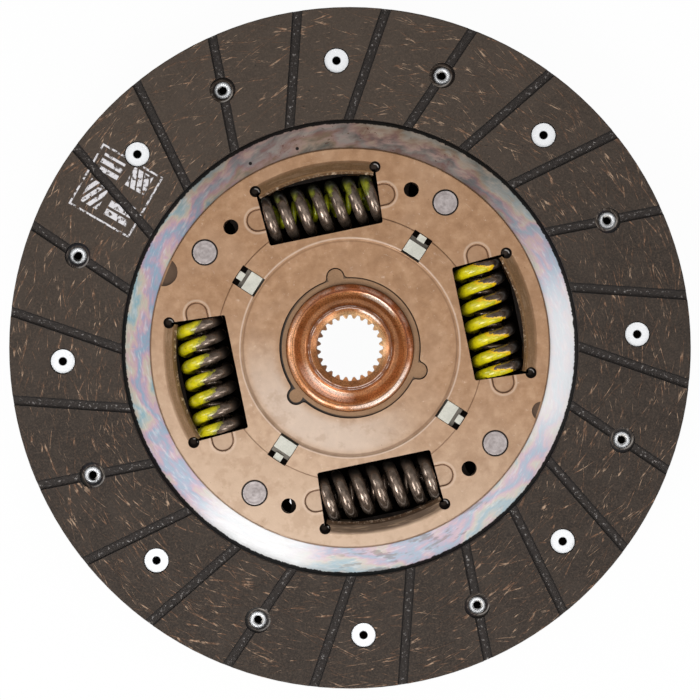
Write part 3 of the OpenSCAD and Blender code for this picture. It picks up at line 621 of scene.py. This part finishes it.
def pin_metal(name):
    """Grey upset steel with faint rings, and a dark joint round each head."""
    f = Finish(name, metallic=0.9)
    fine = f.grain(f.place, 0.5, 3, 0.6)
    out, across = f.local(PIN_ANGLE, WINDOW_STEP)
    from_centre = f.hypot(f.minus(out, PIN_R), across)
    wobble = f.product(f.grain(f.place, 1.5), 0.6)
    rings = f.maths("SINE", f.product(f.total(from_centre, wobble), 5.2))
    cloud = f.grain(f.place, 2.2, 3, 0.6)
    colour = f.tones(cloud, (0.35, tone(158, 148, 146)), (0.65, tone(192, 182, 180)))
    colour = f.blend(f.product(f.ramp_up(rings, 0.2, 1.0), 0.12), colour, tone(210, 203, 202))
    colour = f.blend(f.product(f.ramp_up(from_centre, 3.82, 3.98), 0.95), colour, tone(30, 24, 22))
    f.lift((rings, 0.008), (cloud, 0.05), (fine, 0.03))
    return f.set(Base_Color=colour, Roughness=f.total(0.34, f.product(fine, 0.15)))


def copper_hub(name):
    """Turned hub under a copper-coloured film, browner in the channel."""
    f = Finish(name, metallic=0.5)
    fine = f.grain(f.place, 0.5, 3, 0.6)
    turned = f.grain(f.turning(5, 2.4, 2.4), 1, 3, 0.6)
    colour = f.tones(
        turned, (0.3, tone(158, 98, 52)), (0.5, tone(186, 120, 70)), (0.72, tone(212, 148, 98))
    )
    cloud = f.grain(f.place, 5, 3, 0.6)
    colour = f.blend(f.product(f.ramp_up(cloud, 0.42, 0.68), 0.5), colour, tone(122, 68, 34))
    channel = f.product(f.band(f.r, 14.6, 18.0, 0.9), 0.45)
    colour = f.blend(channel, colour, tone(164, 106, 60))
    # Painted shade: the rim is darker and browner towards 62 degrees
    brown = f.product(f.facing_arc(62, 75, 40), f.band(f.r, 18.9, 21.2, 0.3))
    colour = f.blend(brown, colour, tone(200, 162, 118), mode="MULTIPLY")
    # Painted highlights on the channel, the rim and the nose's chamfer
    for middle, spread, inner, outer, share, highlight_tone in (
        (236, 24, 15.2, 18.2, 0.92, tone(255, 226, 206)),
        (60, 42, 17.9, 18.5, 0.6, tone(236, 172, 118)),
        (56, 14, 17.7, 18.8, 0.97, tone(255, 240, 222)),
        (57, 13, 12.5, 13.1, 0.95, tone(255, 246, 234)),
        (176, 20, 18.9, 20.4, 0.8, tone(250, 176, 122)),
        (307, 24, 19.5, 20.7, 0.92, tone(255, 236, 222)),
    ):
        spot = f.band(f.r, inner, outer, 0.35)
        spot = f.product(f.facing_arc(middle, spread, spread * 0.8), spot)
        spot = f.product(spot, f.ramp_up(turned, 0.22, 0.5), share)
        colour = f.blend(spot, colour, highlight_tone)
    stain = f.ramp_up(f.grain(f.turning(16, 0.9), 1, 3, 0.6), 0.58, 0.7)
    colour = f.blend(f.product(stain, 0.45), colour, tone(84, 46, 26))
    # Painted glints in a double ring on the nose, whose flat is darker, and a painted highlight
    # round the rim; the teeth are paler on one side as a painted highlight and darker on the other
    # as painted shade
    wobble = f.total(f.r, f.product(f.grain(f.turning(7, 0.5), 1, 3, 0.7), 0.5))
    double = f.either(f.band(wobble, 13.45, 13.6, 0.08), f.band(wobble, 14.15, 14.3, 0.08))
    nose_glints = f.product(double, f.ramp_up(f.z, 7, 7.6), f.ramp_up(cloud, 0.42, 0.54), 0.9)
    flat = f.product(f.band(f.r, 13.2, 14.3, 0.15), f.ramp_up(f.z, 7, 7.6))
    colour = f.blend(f.product(flat, 0.78), colour, tone(108, 60, 38))
    colour = f.blend(nose_glints, colour, tone(255, 236, 226))
    # Painted highlight round the rim
    painted_highlights = f.product(f.band(f.r, 19.8, 20.9, 0.4), f.ramp_up(cloud, 0.4, 0.6), 0.4)
    colour = f.blend(painted_highlights, colour, tone(240, 196, 170))
    line = f.product(f.line(f.r, 19.35, 0.18, 0.06), 0.7)
    colour = f.blend(f.product(line, f.ramp_up(f.z, 2.5, 3)), colour, tone(74, 36, 18))
    # Painted highlight on the teeth towards 50 degrees
    worn = f.product(f.ramp_up(f.r, 12.8, 11.4), f.facing_arc(50, 80, 50), 0.6)
    colour = f.blend(worn, colour, tone(204, 168, 122))
    shaded = f.product(f.ramp_up(f.r, 11.6, 10.9), f.facing_arc(185, 40, 40), 0.8)
    colour = f.blend(shaded, colour, tone(70, 40, 18))
    f.lift((turned, 0.03), (cloud, 0.1), (fine, 0.03))
    f.set(Coat_Weight=0.24, Coat_Roughness=0.15)
    return f.set(Base_Color=colour, Roughness=f.total(0.2, f.product(fine, 0.16)))


def dark_metal(name, low, high, painted_highlights=False):
    """Hardened steel. Painted highlights add a grey sheen and a bright crescent below each cover
    relief hole.
    """
    f = Finish(name, metallic=0.85)
    fine = f.grain(f.place, 0.7, 3, 0.65)
    cloud = f.grain(f.place, 6, 3, 0.55)
    mixed = f.total(f.product(fine, 0.5), f.product(cloud, 0.5))
    colour = f.tones(mixed, (0.35, low), (0.65, high))
    if painted_highlights:
        # Painted grey sheen and crescent highlight seen through each relief hole
        for offset in (-RELIEF_ANGLE, RELIEF_ANGLE):
            dx, dy = f.from_repeat(WINDOW_ANGLE + offset, WINDOW_STEP, RELIEF_R)
            from_grey = f.hypot(f.total(dx, 0.3), f.total(dy, -0.3))
            grey = f.product(f.ramp_up(from_grey, 1.3, 0.6), 0.4)
            colour = f.blend(grey, colour, tone(112, 98, 88))
            ring = f.band(f.hypot(dx, dy), 0.95, 1.25, 0.15)
            crescent = f.product(ring, f.ramp_up(f.total(dx, f.product(dy, 1.4)), 0.8, 1.5))
            colour = f.blend(crescent, colour, tone(255, 250, 246))
    f.lift((fine, 0.03))
    return f.set(Base_Color=colour, Roughness=f.total(0.4, f.product(fine, 0.2)))


def moulded(name, low, high, stain_tone, shade_z=None, gap_shade=False):
    """Moulded polymer, with painted shade below shade_z and a painted shadow in the gap beside the
    cover.
    """
    f = Finish(name)
    fine = f.grain(f.place, 0.5, 3, 0.65)
    cloud = f.grain(f.place, 5, 3, 0.55)
    mixed = f.total(f.product(fine, 0.5), f.product(cloud, 0.5))
    colour = f.tones(mixed, (0.35, low), (0.65, high))
    stain = f.ramp_up(f.grain(f.place, 1.4, 3, 0.7), 0.66, 0.74)
    colour = f.blend(f.product(stain, 0.6), colour, stain_tone)
    if gap_shade:
        # The bush has three lobes, one of them in line with a window
        out, across = f.local(WINDOW_ANGLE + WINDOW_STEP, 120)
        lobe = f.minus(f.hypot(f.minus(out, LOBE_CIRCLE_R), across), LOBE_R)
        to_edge = f.maths("MINIMUM", lobe, f.minus(f.r, COVER_BORE_R))
        # Painted shadow along the edge beside the cover, black on one side and fainter all round
        shade = f.product(f.ramp_up(to_edge, -0.95, -0.75), f.facing_arc(205, 62, 40), 0.95)
        colour = f.blend(shade, colour, tone(14, 10, 8))
        shade = f.product(f.ramp_up(to_edge, -0.5, -0.4), 0.6)
        colour = f.blend(shade, colour, tone(30, 22, 16))
    if shade_z is not None:
        # Painted shade low down
        shade = f.ramp_up(f.z, shade_z, shade_z - 0.5)
        colour = f.blend(f.product(shade, 0.8), colour, tone(70, 56, 42))
    f.lift((fine, 0.04))
    return f.set(Base_Color=colour, Roughness=f.total(0.45, f.product(fine, 0.2)))


def coil_wire(name, window, paint=None, edge=0.0, side=1, amount=1.0, slant=0.0, drift=0.0):
    """Oiled spring wire. Paint, where a coil has it, covers one side of the top of the coil.

    Its edge lies that far outwards from the coil's axis, slants across each wire, and drifts
    along the coil. Its tones are the paint's two, its flecks' and its thin rim's.
    """
    f = Finish(name, metallic=0.75)
    fine = f.grain(f.place, 0.4, 3, 0.65)
    cloud = f.grain(f.place, 2.4, 3, 0.6)
    colour = f.tones(
        f.total(f.product(fine, 0.2), f.product(cloud, 0.8)),
        (0.36, tone(90, 76, 64)), (0.52, tone(130, 112, 98)), (0.68, tone(162, 145, 131)),
    )
    rough = f.total(0.2, f.product(fine, 0.06))
    turn = math.radians(window)
    out = f.total(f.product(f.x, math.cos(turn)), f.product(f.y, math.sin(turn)))
    height = f.minus(f.z, SPRING_Z)
    # Painted shade low in the window
    low = f.product(f.ramp_up(height, -0.5, -4.5), 0.9)
    colour = f.blend(low, colour, tone(16, 12, 10))
    past = f.minus(out, SPRING_R)
    # Painted shade on the end of each wire that lies towards 52 degrees, away from the light
    shaded_side = 1 if math.cos(turn - math.radians(52)) > 0 else -1
    dirt_and_shade = f.total(f.product(past, shaded_side), f.product(cloud, 2.0))
    dirt_and_shade = f.product(f.ramp_up(dirt_and_shade, 5.2, 8.4), 0.96)
    if paint:
        along = f.total(f.product(f.x, -math.sin(turn)), f.product(f.y, math.cos(turn)))
        coarse = f.product(f.grain(f.place, 2.2, 3, 0.65), 6.0)
        ragged = f.total(coarse, f.product(f.grain(f.place, 0.8, 2, 0.6), 1.8))
        # The paint reaches further along one side of every wire than along its other side
        in_wire = f.product(f.total(along, f.product(past, -0.14)), 2 * math.pi / OUTER_PITCH)
        lean = f.product(f.maths("SINE", in_wire), slant)
        line = f.product(f.minus(past, edge), side)
        line = f.total(line, ragged, lean, f.product(along, -drift))
        body = f.ramp_up(line, 3.9, 4.2)
        rim = f.product(f.ramp_up(line, 3.7, 3.9), f.ramp_up(line, 6.0, 5.0))
        above = f.ramp_up(f.total(height, f.product(cloud, 3.0)), -2.4, -1.2)
        cover = f.product(body, above, amount)
        coat = f.tones(cloud, (0.35, paint[0]), (0.65, paint[1]))
        speck = f.ramp_up(f.grain(f.shifted(f.place, 5, 0, 0), 1.1, 3, 0.7), 0.6, 0.68)
        coat = f.blend(f.product(speck, 0.75), coat, paint[2])
        coat = f.blend(f.product(rim, 0.8), coat, paint[3])
        colour = f.blend(cover, colour, coat)
        rough = f.total(rough, f.product(cover, 0.08))
        f.set(Metallic=f.product(f.minus(1.0, cover), 0.75))
    colour = f.blend(dirt_and_shade, colour, tone(13, 10, 8))
    f.lift((fine, 0.003), (cloud, 0.04))
    rough = f.total(rough, f.product(dirt_and_shade, 0.4))
    return f.set(Base_Color=colour, Roughness=rough, Coat_Weight=0.5, Coat_Roughness=0.06)


# Modelling helpers


def take(piece):
    bpy.ops.object.select_all(action="DESELECT")
    piece.select_set(True)
    bpy.context.view_layer.objects.active = piece


def apply_modifiers(piece):
    take(piece)
    for modifier in list(piece.modifiers):
        bpy.ops.object.modifier_apply(modifier=modifier.name)


def seat(piece, body, finish):
    piece.data.materials.clear()
    piece.data.materials.append(finish)
    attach(piece, body)


def round_over(piece, chosen, width):
    """Rounds the sharp edges whose ends both lie where the test says."""
    take(piece)
    bpy.ops.object.mode_set(mode="EDIT")
    bpy.ops.mesh.select_mode(type="EDGE")
    bpy.ops.mesh.select_all(action="DESELECT")
    bpy.ops.mesh.edges_select_sharp(sharpness=math.radians(SHARP_ANGLE))
    bpy.ops.object.mode_set(mode="OBJECT")
    kept = [chosen(vertex.co / MM) for vertex in piece.data.vertices]
    for vertex, inside in zip(piece.data.vertices, kept):
        vertex.select = vertex.select and inside
    for edge in piece.data.edges:
        edge.select = edge.select and kept[edge.vertices[0]] and kept[edge.vertices[1]]
    for face in piece.data.polygons:
        face.select = False
    bpy.ops.object.mode_set(mode="EDIT")
    bpy.ops.mesh.bevel(offset=width * MM, segments=4, affect="EDGES", clamp_overlap=True)
    bpy.ops.mesh.select_mode(type="VERT")
    bpy.ops.object.mode_set(mode="OBJECT")


def finished_copy(node, name, finish, edge=0.0, rounds=(), halved=()):
    """A CAD node's own shape, welded, with its sharp edges broken and its curves smooth.

    Its flat rings are cut in halves along the angles in halved, so that none of them closes
    over a bore.
    """
    source = frame["nodes"][node]
    piece = bpy.data.objects.new(name, source.data.copy())
    bpy.context.scene.collection.objects.link(piece)
    take(piece)
    bpy.ops.object.mode_set(mode="EDIT")
    bpy.ops.mesh.select_all(action="SELECT")
    bpy.ops.mesh.remove_doubles(threshold=WELD)
    bpy.ops.mesh.dissolve_limited(angle_limit=math.radians(FLAT_ANGLE))
    for degrees in halved:
        bpy.ops.mesh.select_all(action="SELECT")
        turn = math.radians(degrees)
        across = (-math.sin(turn), math.cos(turn), 0)
        bpy.ops.mesh.bisect(plane_co=(0, 0, 0), plane_no=across)
    bpy.ops.object.mode_set(mode="OBJECT")
    for chosen, width in rounds:
        round_over(piece, chosen, width)
    if edge:
        bevel = piece.modifiers.new("edges", "BEVEL")
        bevel.width = edge * MM
        bevel.segments = 2
        bevel.limit_method = "ANGLE"
        bevel.angle_limit = math.radians(SMOOTH_ANGLE)
        bevel.use_clamp_overlap = False
        bevel.miter_outer = "MITER_ARC"
        apply_modifiers(piece)
    take(piece)
    bpy.ops.object.shade_smooth_by_angle(angle=math.radians(SMOOTH_ANGLE))
    flats = piece.modifiers.new("flat_faces", "WEIGHTED_NORMAL")
    flats.keep_sharp = True
    apply_modifiers(piece)
    seat(piece, source["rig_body"], finish)
    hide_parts(node)


# Places on the covers whose edges are rounded


def in_window(place):
    """Distance outwards along the nearest window's middle line, and away from that line."""
    turned = math.degrees(math.atan2(place.y, place.x)) - WINDOW_ANGLE
    near = math.radians((turned + WINDOW_STEP / 2) % WINDOW_STEP - WINDOW_STEP / 2)
    r = math.hypot(place.x, place.y)
    return r * math.cos(near), abs(r * math.sin(near))


def on_flap_bend(place):
    return abs(math.hypot(place.x, place.y) - FLAP_BEND_R) < 0.06 and place.z > 2.4


def on_ring_fold(place):
    return abs(math.hypot(place.x, place.y) - FOLD_R) < 0.06 and place.z > 2.9


def on_front(place):
    out, across = in_window(place)
    return place.z > 2.3 and not (across > 19.5 and out > 53)


def on_back(place):
    return place.z < -10.6


def on_window_lip(place):
    return abs(in_window(place)[0] - WINDOW_LIP) < 0.06 and place.z > 2.9


def on_pad_rim(place):
    out, across = in_window(place)
    from_pad = math.hypot(out - SPRING_R, max(across - PAD_REACH, 0)) - PAD_R
    return abs(from_pad) < 0.08 and across > 19.0 and place.z > 2.5


def coil(name, window, shift, wire_d, coil_d, turns, facets, left_handed=False):
    """A spring wound from a round wire, its end turns nearly closed and its ends ground flat."""
    mean_r = (coil_d - wire_d) / 2
    half_turns = round(2 * turns)
    # The wire's centre line ends 0.2 of the wire inside each ground face
    span = COIL_LENGTH - 0.4 * wire_d
    end_rise = 0.55 * wire_d
    open_rise = (span - 2 * end_rise) / (half_turns - 2)
    # Each section's first half turn, its number of half turns, and the rise of each
    sections = [(0, 1, end_rise), (1, half_turns - 2, open_rise), (half_turns - 1, 1, end_rise)]
    hand = -1 if left_handed else 1
    parts = []
    height = -span / 2
    for start, count, rise in sections:
        flip = -1 if start % 2 else 1
        bpy.ops.object.select_all(action="DESELECT")
        bpy.ops.mesh.primitive_circle_add(
            vertices=facets, radius=wire_d / 2 * MM,
            location=(flip * mean_r * MM, 0, height * MM), rotation=(math.pi / 2, 0, 0),
        )
        part = bpy.context.object
        bpy.ops.object.transform_apply(location=True, rotation=True, scale=True)
        screw = part.modifiers.new("winding", "SCREW")
        screw.axis = "Z"
        screw.angle = hand * math.pi * count
        screw.screw_offset = rise * count * MM
        screw.steps = screw.render_steps = 24 * count
        screw.use_merge_vertices = False
        apply_modifiers(part)
        parts.append(part)
        height += rise * count
    bpy.ops.object.select_all(action="DESELECT")
    for part in parts:
        part.select_set(True)
    bpy.context.view_layer.objects.active = parts[0]
    bpy.ops.object.join()
    piece = bpy.context.object
    piece.name = name
    bpy.ops.object.mode_set(mode="EDIT")
    bpy.ops.mesh.select_all(action="SELECT")
    bpy.ops.mesh.remove_doubles(threshold=WELD)
    for side in (-1, 1):
        bpy.ops.mesh.select_all(action="SELECT")
        bpy.ops.mesh.bisect(
            plane_co=(0, 0, side * COIL_LENGTH / 2 * MM), plane_no=(0, 0, side),
            use_fill=True, clear_outer=True,
        )
    bpy.ops.mesh.select_all(action="SELECT")
    bpy.ops.mesh.normals_make_consistent(inside=False)
    bpy.ops.object.mode_set(mode="OBJECT")
    # Into its window: the coil's axis lies along the window, its first half turns face up
    turn = Matrix.Rotation(math.radians(window), 4, "Z")
    place = turn @ Matrix.Translation(((SPRING_R + shift) * MM, 0, SPRING_Z * MM))
    place = place @ Matrix.Rotation(math.pi, 4, "Z") @ Matrix.Rotation(math.pi / 2, 4, "X")
    piece.data.transform(place)
    take(piece)
    bpy.ops.object.shade_smooth_by_angle(angle=math.radians(COIL_SMOOTH_ANGLE))
    return piece


# Stage: pale floor, soft lights and the camera


def build_stage():
    bpy.ops.object.select_all(action="DESELECT")
    floor_z = cad_box[0][2] - FLOOR_GAP
    bpy.ops.mesh.primitive_plane_add(size=FLOOR_SIZE, location=(0, 0, floor_z))
    floor = bpy.context.object
    floor.name = "studio_floor"
    s = Shading("studio_paper")

    def distance_to(place):
        node = s.add("ShaderNodeVectorMath", operation="DISTANCE")
        s.feed(node.inputs[0], s.coords)
        s.feed(node.inputs[1], place)
        return node.outputs["Value"]

    # The paper under the disc is painted nearly black, a painted shadow of the disc
    from_axis = distance_to((0, 0, 0))
    outside = s.add("ShaderNodeMapRange")
    s.feed(outside.inputs["Value"], from_axis)
    s.feed(outside.inputs["From Min"], SHADOW_FROM_R)
    s.feed(outside.inputs["From Max"], SHADOW_TO_R)
    outside = outside.outputs["Result"]
    paper = s.add("ShaderNodeBsdfDiffuse")
    paper_and_shadow = s.blend(outside, (0.012, 0.010, 0.008, 1), (0.82, 0.82, 0.82, 1))
    s.feed(paper.inputs["Color"], paper_and_shadow)
    # It glows where it is seen, round the disc, through the bore and by a sliver in one hole
    in_bore = s.maths("LESS_THAN", from_axis, BORE_LIGHT_R)
    in_sliver = s.maths("LESS_THAN", distance_to(SLIVER_PLACE), SLIVER_R)
    open_paper = s.either(outside, s.either(in_bore, in_sliver))
    rays = s.add("ShaderNodeLightPath").outputs
    seen = s.either(rays["Is Camera Ray"], rays["Is Glossy Ray"])
    seen = s.either(seen, rays["Is Transmission Ray"])
    glow = s.add("ShaderNodeEmission")
    s.feed(glow.inputs["Color"], (1, 1, 1, 1))
    s.feed(glow.inputs["Strength"], 1.0)
    mix = s.add("ShaderNodeMixShader")
    s.feed(mix.inputs["Fac"], s.product(seen, PAPER_GLOW, open_paper))
    s.feed(mix.inputs[1], paper.outputs[0])
    s.feed(mix.inputs[2], glow.outputs[0])
    s.feed(s.output.inputs["Surface"], mix.outputs[0])
    floor.data.materials.append(s.material)


def soft_light(name, place, aim, width, height, power):
    data = bpy.data.lights.new(name, "AREA")
    data.shape = "RECTANGLE"
    data.size, data.size_y = width, height
    data.energy = power
    lamp = bpy.data.objects.new(name, data)
    bpy.context.scene.collection.objects.link(lamp)
    lamp.location = place
    direction = Vector(aim) - Vector(place)
    lamp.rotation_euler = direction.to_track_quat("-Z", "Y").to_euler()


def build_lights():
    soft_light("overhead_softbox", (0.0, 0.0, 1.9), (0, 0, 0), 2.2, 2.2, 9)
    soft_light("key_softbox", (-0.22, -0.42, 0.55), (0, -0.01, 0), 0.32, 0.32, 2.7)
    soft_light("left_softbox", (-0.62, 0.02, 0.42), (0, 0, 0), 0.22, 0.3, 0.9)
    soft_light("low_right_softbox", (0.36, -0.52, 0.42), (0, 0, 0), 0.22, 0.3, 0.9)
    soft_light("right_softbox", (0.85, -0.2, 0.7), (0, 0, 0), 0.4, 0.7, 2)
    world = bpy.data.worlds.new("studio_air")
    bpy.context.scene.world = world
    world.use_nodes = True
    background = world.node_tree.nodes["Background"]
    background.inputs["Color"].default_value = (1, 1, 1, 1)
    background.inputs["Strength"].default_value = 0.25


def build_camera():
    """Looks straight down, with the photograph's scale at the front of the facings."""
    data = bpy.data.cameras.new("photo_camera")
    data.sensor_width = SENSOR_MM
    to_facing = CAMERA_HEIGHT - FACING_FRONT_Z * MM
    data.lens = SENSOR_MM * to_facing / (PHOTO_PIXELS * PHOTO_MM * MM)
    camera = bpy.data.objects.new("photo_camera", data)
    bpy.context.scene.collection.objects.link(camera)
    camera.location = (0, -PHOTO_RISE * PHOTO_MM * MM, CAMERA_HEIGHT)
    camera.rotation_euler = (0, 0, 0)
    bpy.context.scene.camera = camera


bpy.context.scene.view_settings.view_transform = "Standard"
build_camera()
build_stage()
build_lights()

# Facings and what holds them
finished_copy("front_facing", "front_friction_facing",
              friction_material("pressed_friction_lining", inked=True), edge=0.12)
finished_copy("rear_facing", "rear_friction_facing",
              friction_material("pressed_friction_lining_rear", mirrored=True), edge=0.12)
finished_copy("front_facing_rivets", "front_rivets",
              rivet_metal("bright_zinc_rivets", RIVET_ANGLE), edge=0.15)
finished_copy("rear_facing_rivets", "rear_rivets",
              rivet_metal("rear_zinc_rivets", ACCESS_ANGLE, closed=True), edge=0.15)
finished_copy("cushion_disc", "plated_cushion_disc",
              plated_ring("rainbow_zinc_plating"), edge=0.1)

# Covers, pins and the friction pack
cover_rounds = [
    (on_flap_bend, 1.3), (on_ring_fold, 0.5), (on_pad_rim, 0.4), (on_window_lip, 0.6),
    (on_front, 0.15),
]
finished_copy("front_cover", "front_cover_pressing",
              cover_metal("phosphated_cover"), halved=COVER_CUTS, rounds=cover_rounds)
finished_copy("rear_cover", "rear_cover_pressing",
              cover_metal("phosphated_rear_cover", rear=True),
              halved=COVER_CUTS, rounds=[(on_back, 0.15)])
finished_copy("stop_pins", "upset_stop_pins", pin_metal("upset_pin_steel"), edge=0.3)
# The flange is painted nearly black as shade deep in the windows, with painted highlights by the
# relief holes
flange_finish = dark_metal("hardened_flange_steel", tone(20, 16, 14), tone(50, 42, 37), painted_highlights=True)
finished_copy("drive_flange", "blanked_drive_flange", flange_finish, edge=0.1)
finished_copy("hub", "turned_hub", copper_hub("copper_phosphate_film"),
              edge=0.04, halved=(7.5, 97.5))
bush = moulded("glass_filled_bush", tone(138, 104, 72), tone(160, 124, 90), tone(84, 60, 40),
               gap_shade=True)
finished_copy("front_bush", "front_centring_bush", bush, edge=0.1)
finished_copy("rear_bush", "rear_centring_bush", bush, edge=0.2)
pale = moulded("pale_ring_polymer", tone(190, 189, 177), tone(216, 214, 202), tone(122, 110, 86),
               shade_z=2.0)
finished_copy("front_friction_ring", "front_pack_ring", pale, edge=0.15)
finished_copy("thrust_ring", "lugged_thrust_ring", pale, edge=0.15)
finished_copy("rear_friction_ring", "rear_pack_ring", pale, edge=0.1)
finished_copy("disc_spring", "dished_pack_spring",
              dark_metal("hardened_disc_spring", tone(60, 54, 50), tone(100, 90, 84)), edge=0.05)

# Coil springs: how far each lies out of its window's middle, and its paint
yellow = (tone(184, 176, 8), tone(220, 206, 14), tone(92, 88, 12), tone(250, 196, 10))
dull_yellow = (*yellow[:3], tone(128, 126, 40))
olive = (tone(120, 126, 8), tone(186, 190, 10), tone(52, 56, 14), tone(96, 100, 24))
coils = {
    "right": (-0.45, dict(paint=yellow, edge=1.8, side=-1, slant=-3.0)),
    "top": (0.0, dict(paint=olive, edge=5.4, amount=0.85, slant=2.4, drift=0.12)),
    "left": (0.45, dict(paint=dull_yellow, edge=0.4, slant=-1.8)),
    "bottom": (0.0, dict()),
}
for step, (side, (shift, paint)) in enumerate(coils.items()):
    window = WINDOW_ANGLE + WINDOW_STEP * step
    outer = coil(f"{side}_outer_coil", window, shift, **OUTER_COIL)
    wire = coil_wire(f"oiled_wire_{side}", window, **paint)
    seat(outer, "springs", wire)
    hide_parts(f"{side}_outer_spring")
    inner = coil(f"{side}_inner_coil", window, shift, **INNER_COIL)
    inner_paint = dict(paint=olive, edge=-9.0) if side == "top" else {}
    inner_wire = coil_wire(f"oiled_inner_wire_{side}", window, **inner_paint)
    seat(inner, "springs", inner_wire)
    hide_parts(f"{side}_inner_spring")
    for piece in (outer, inner):
        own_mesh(piece)
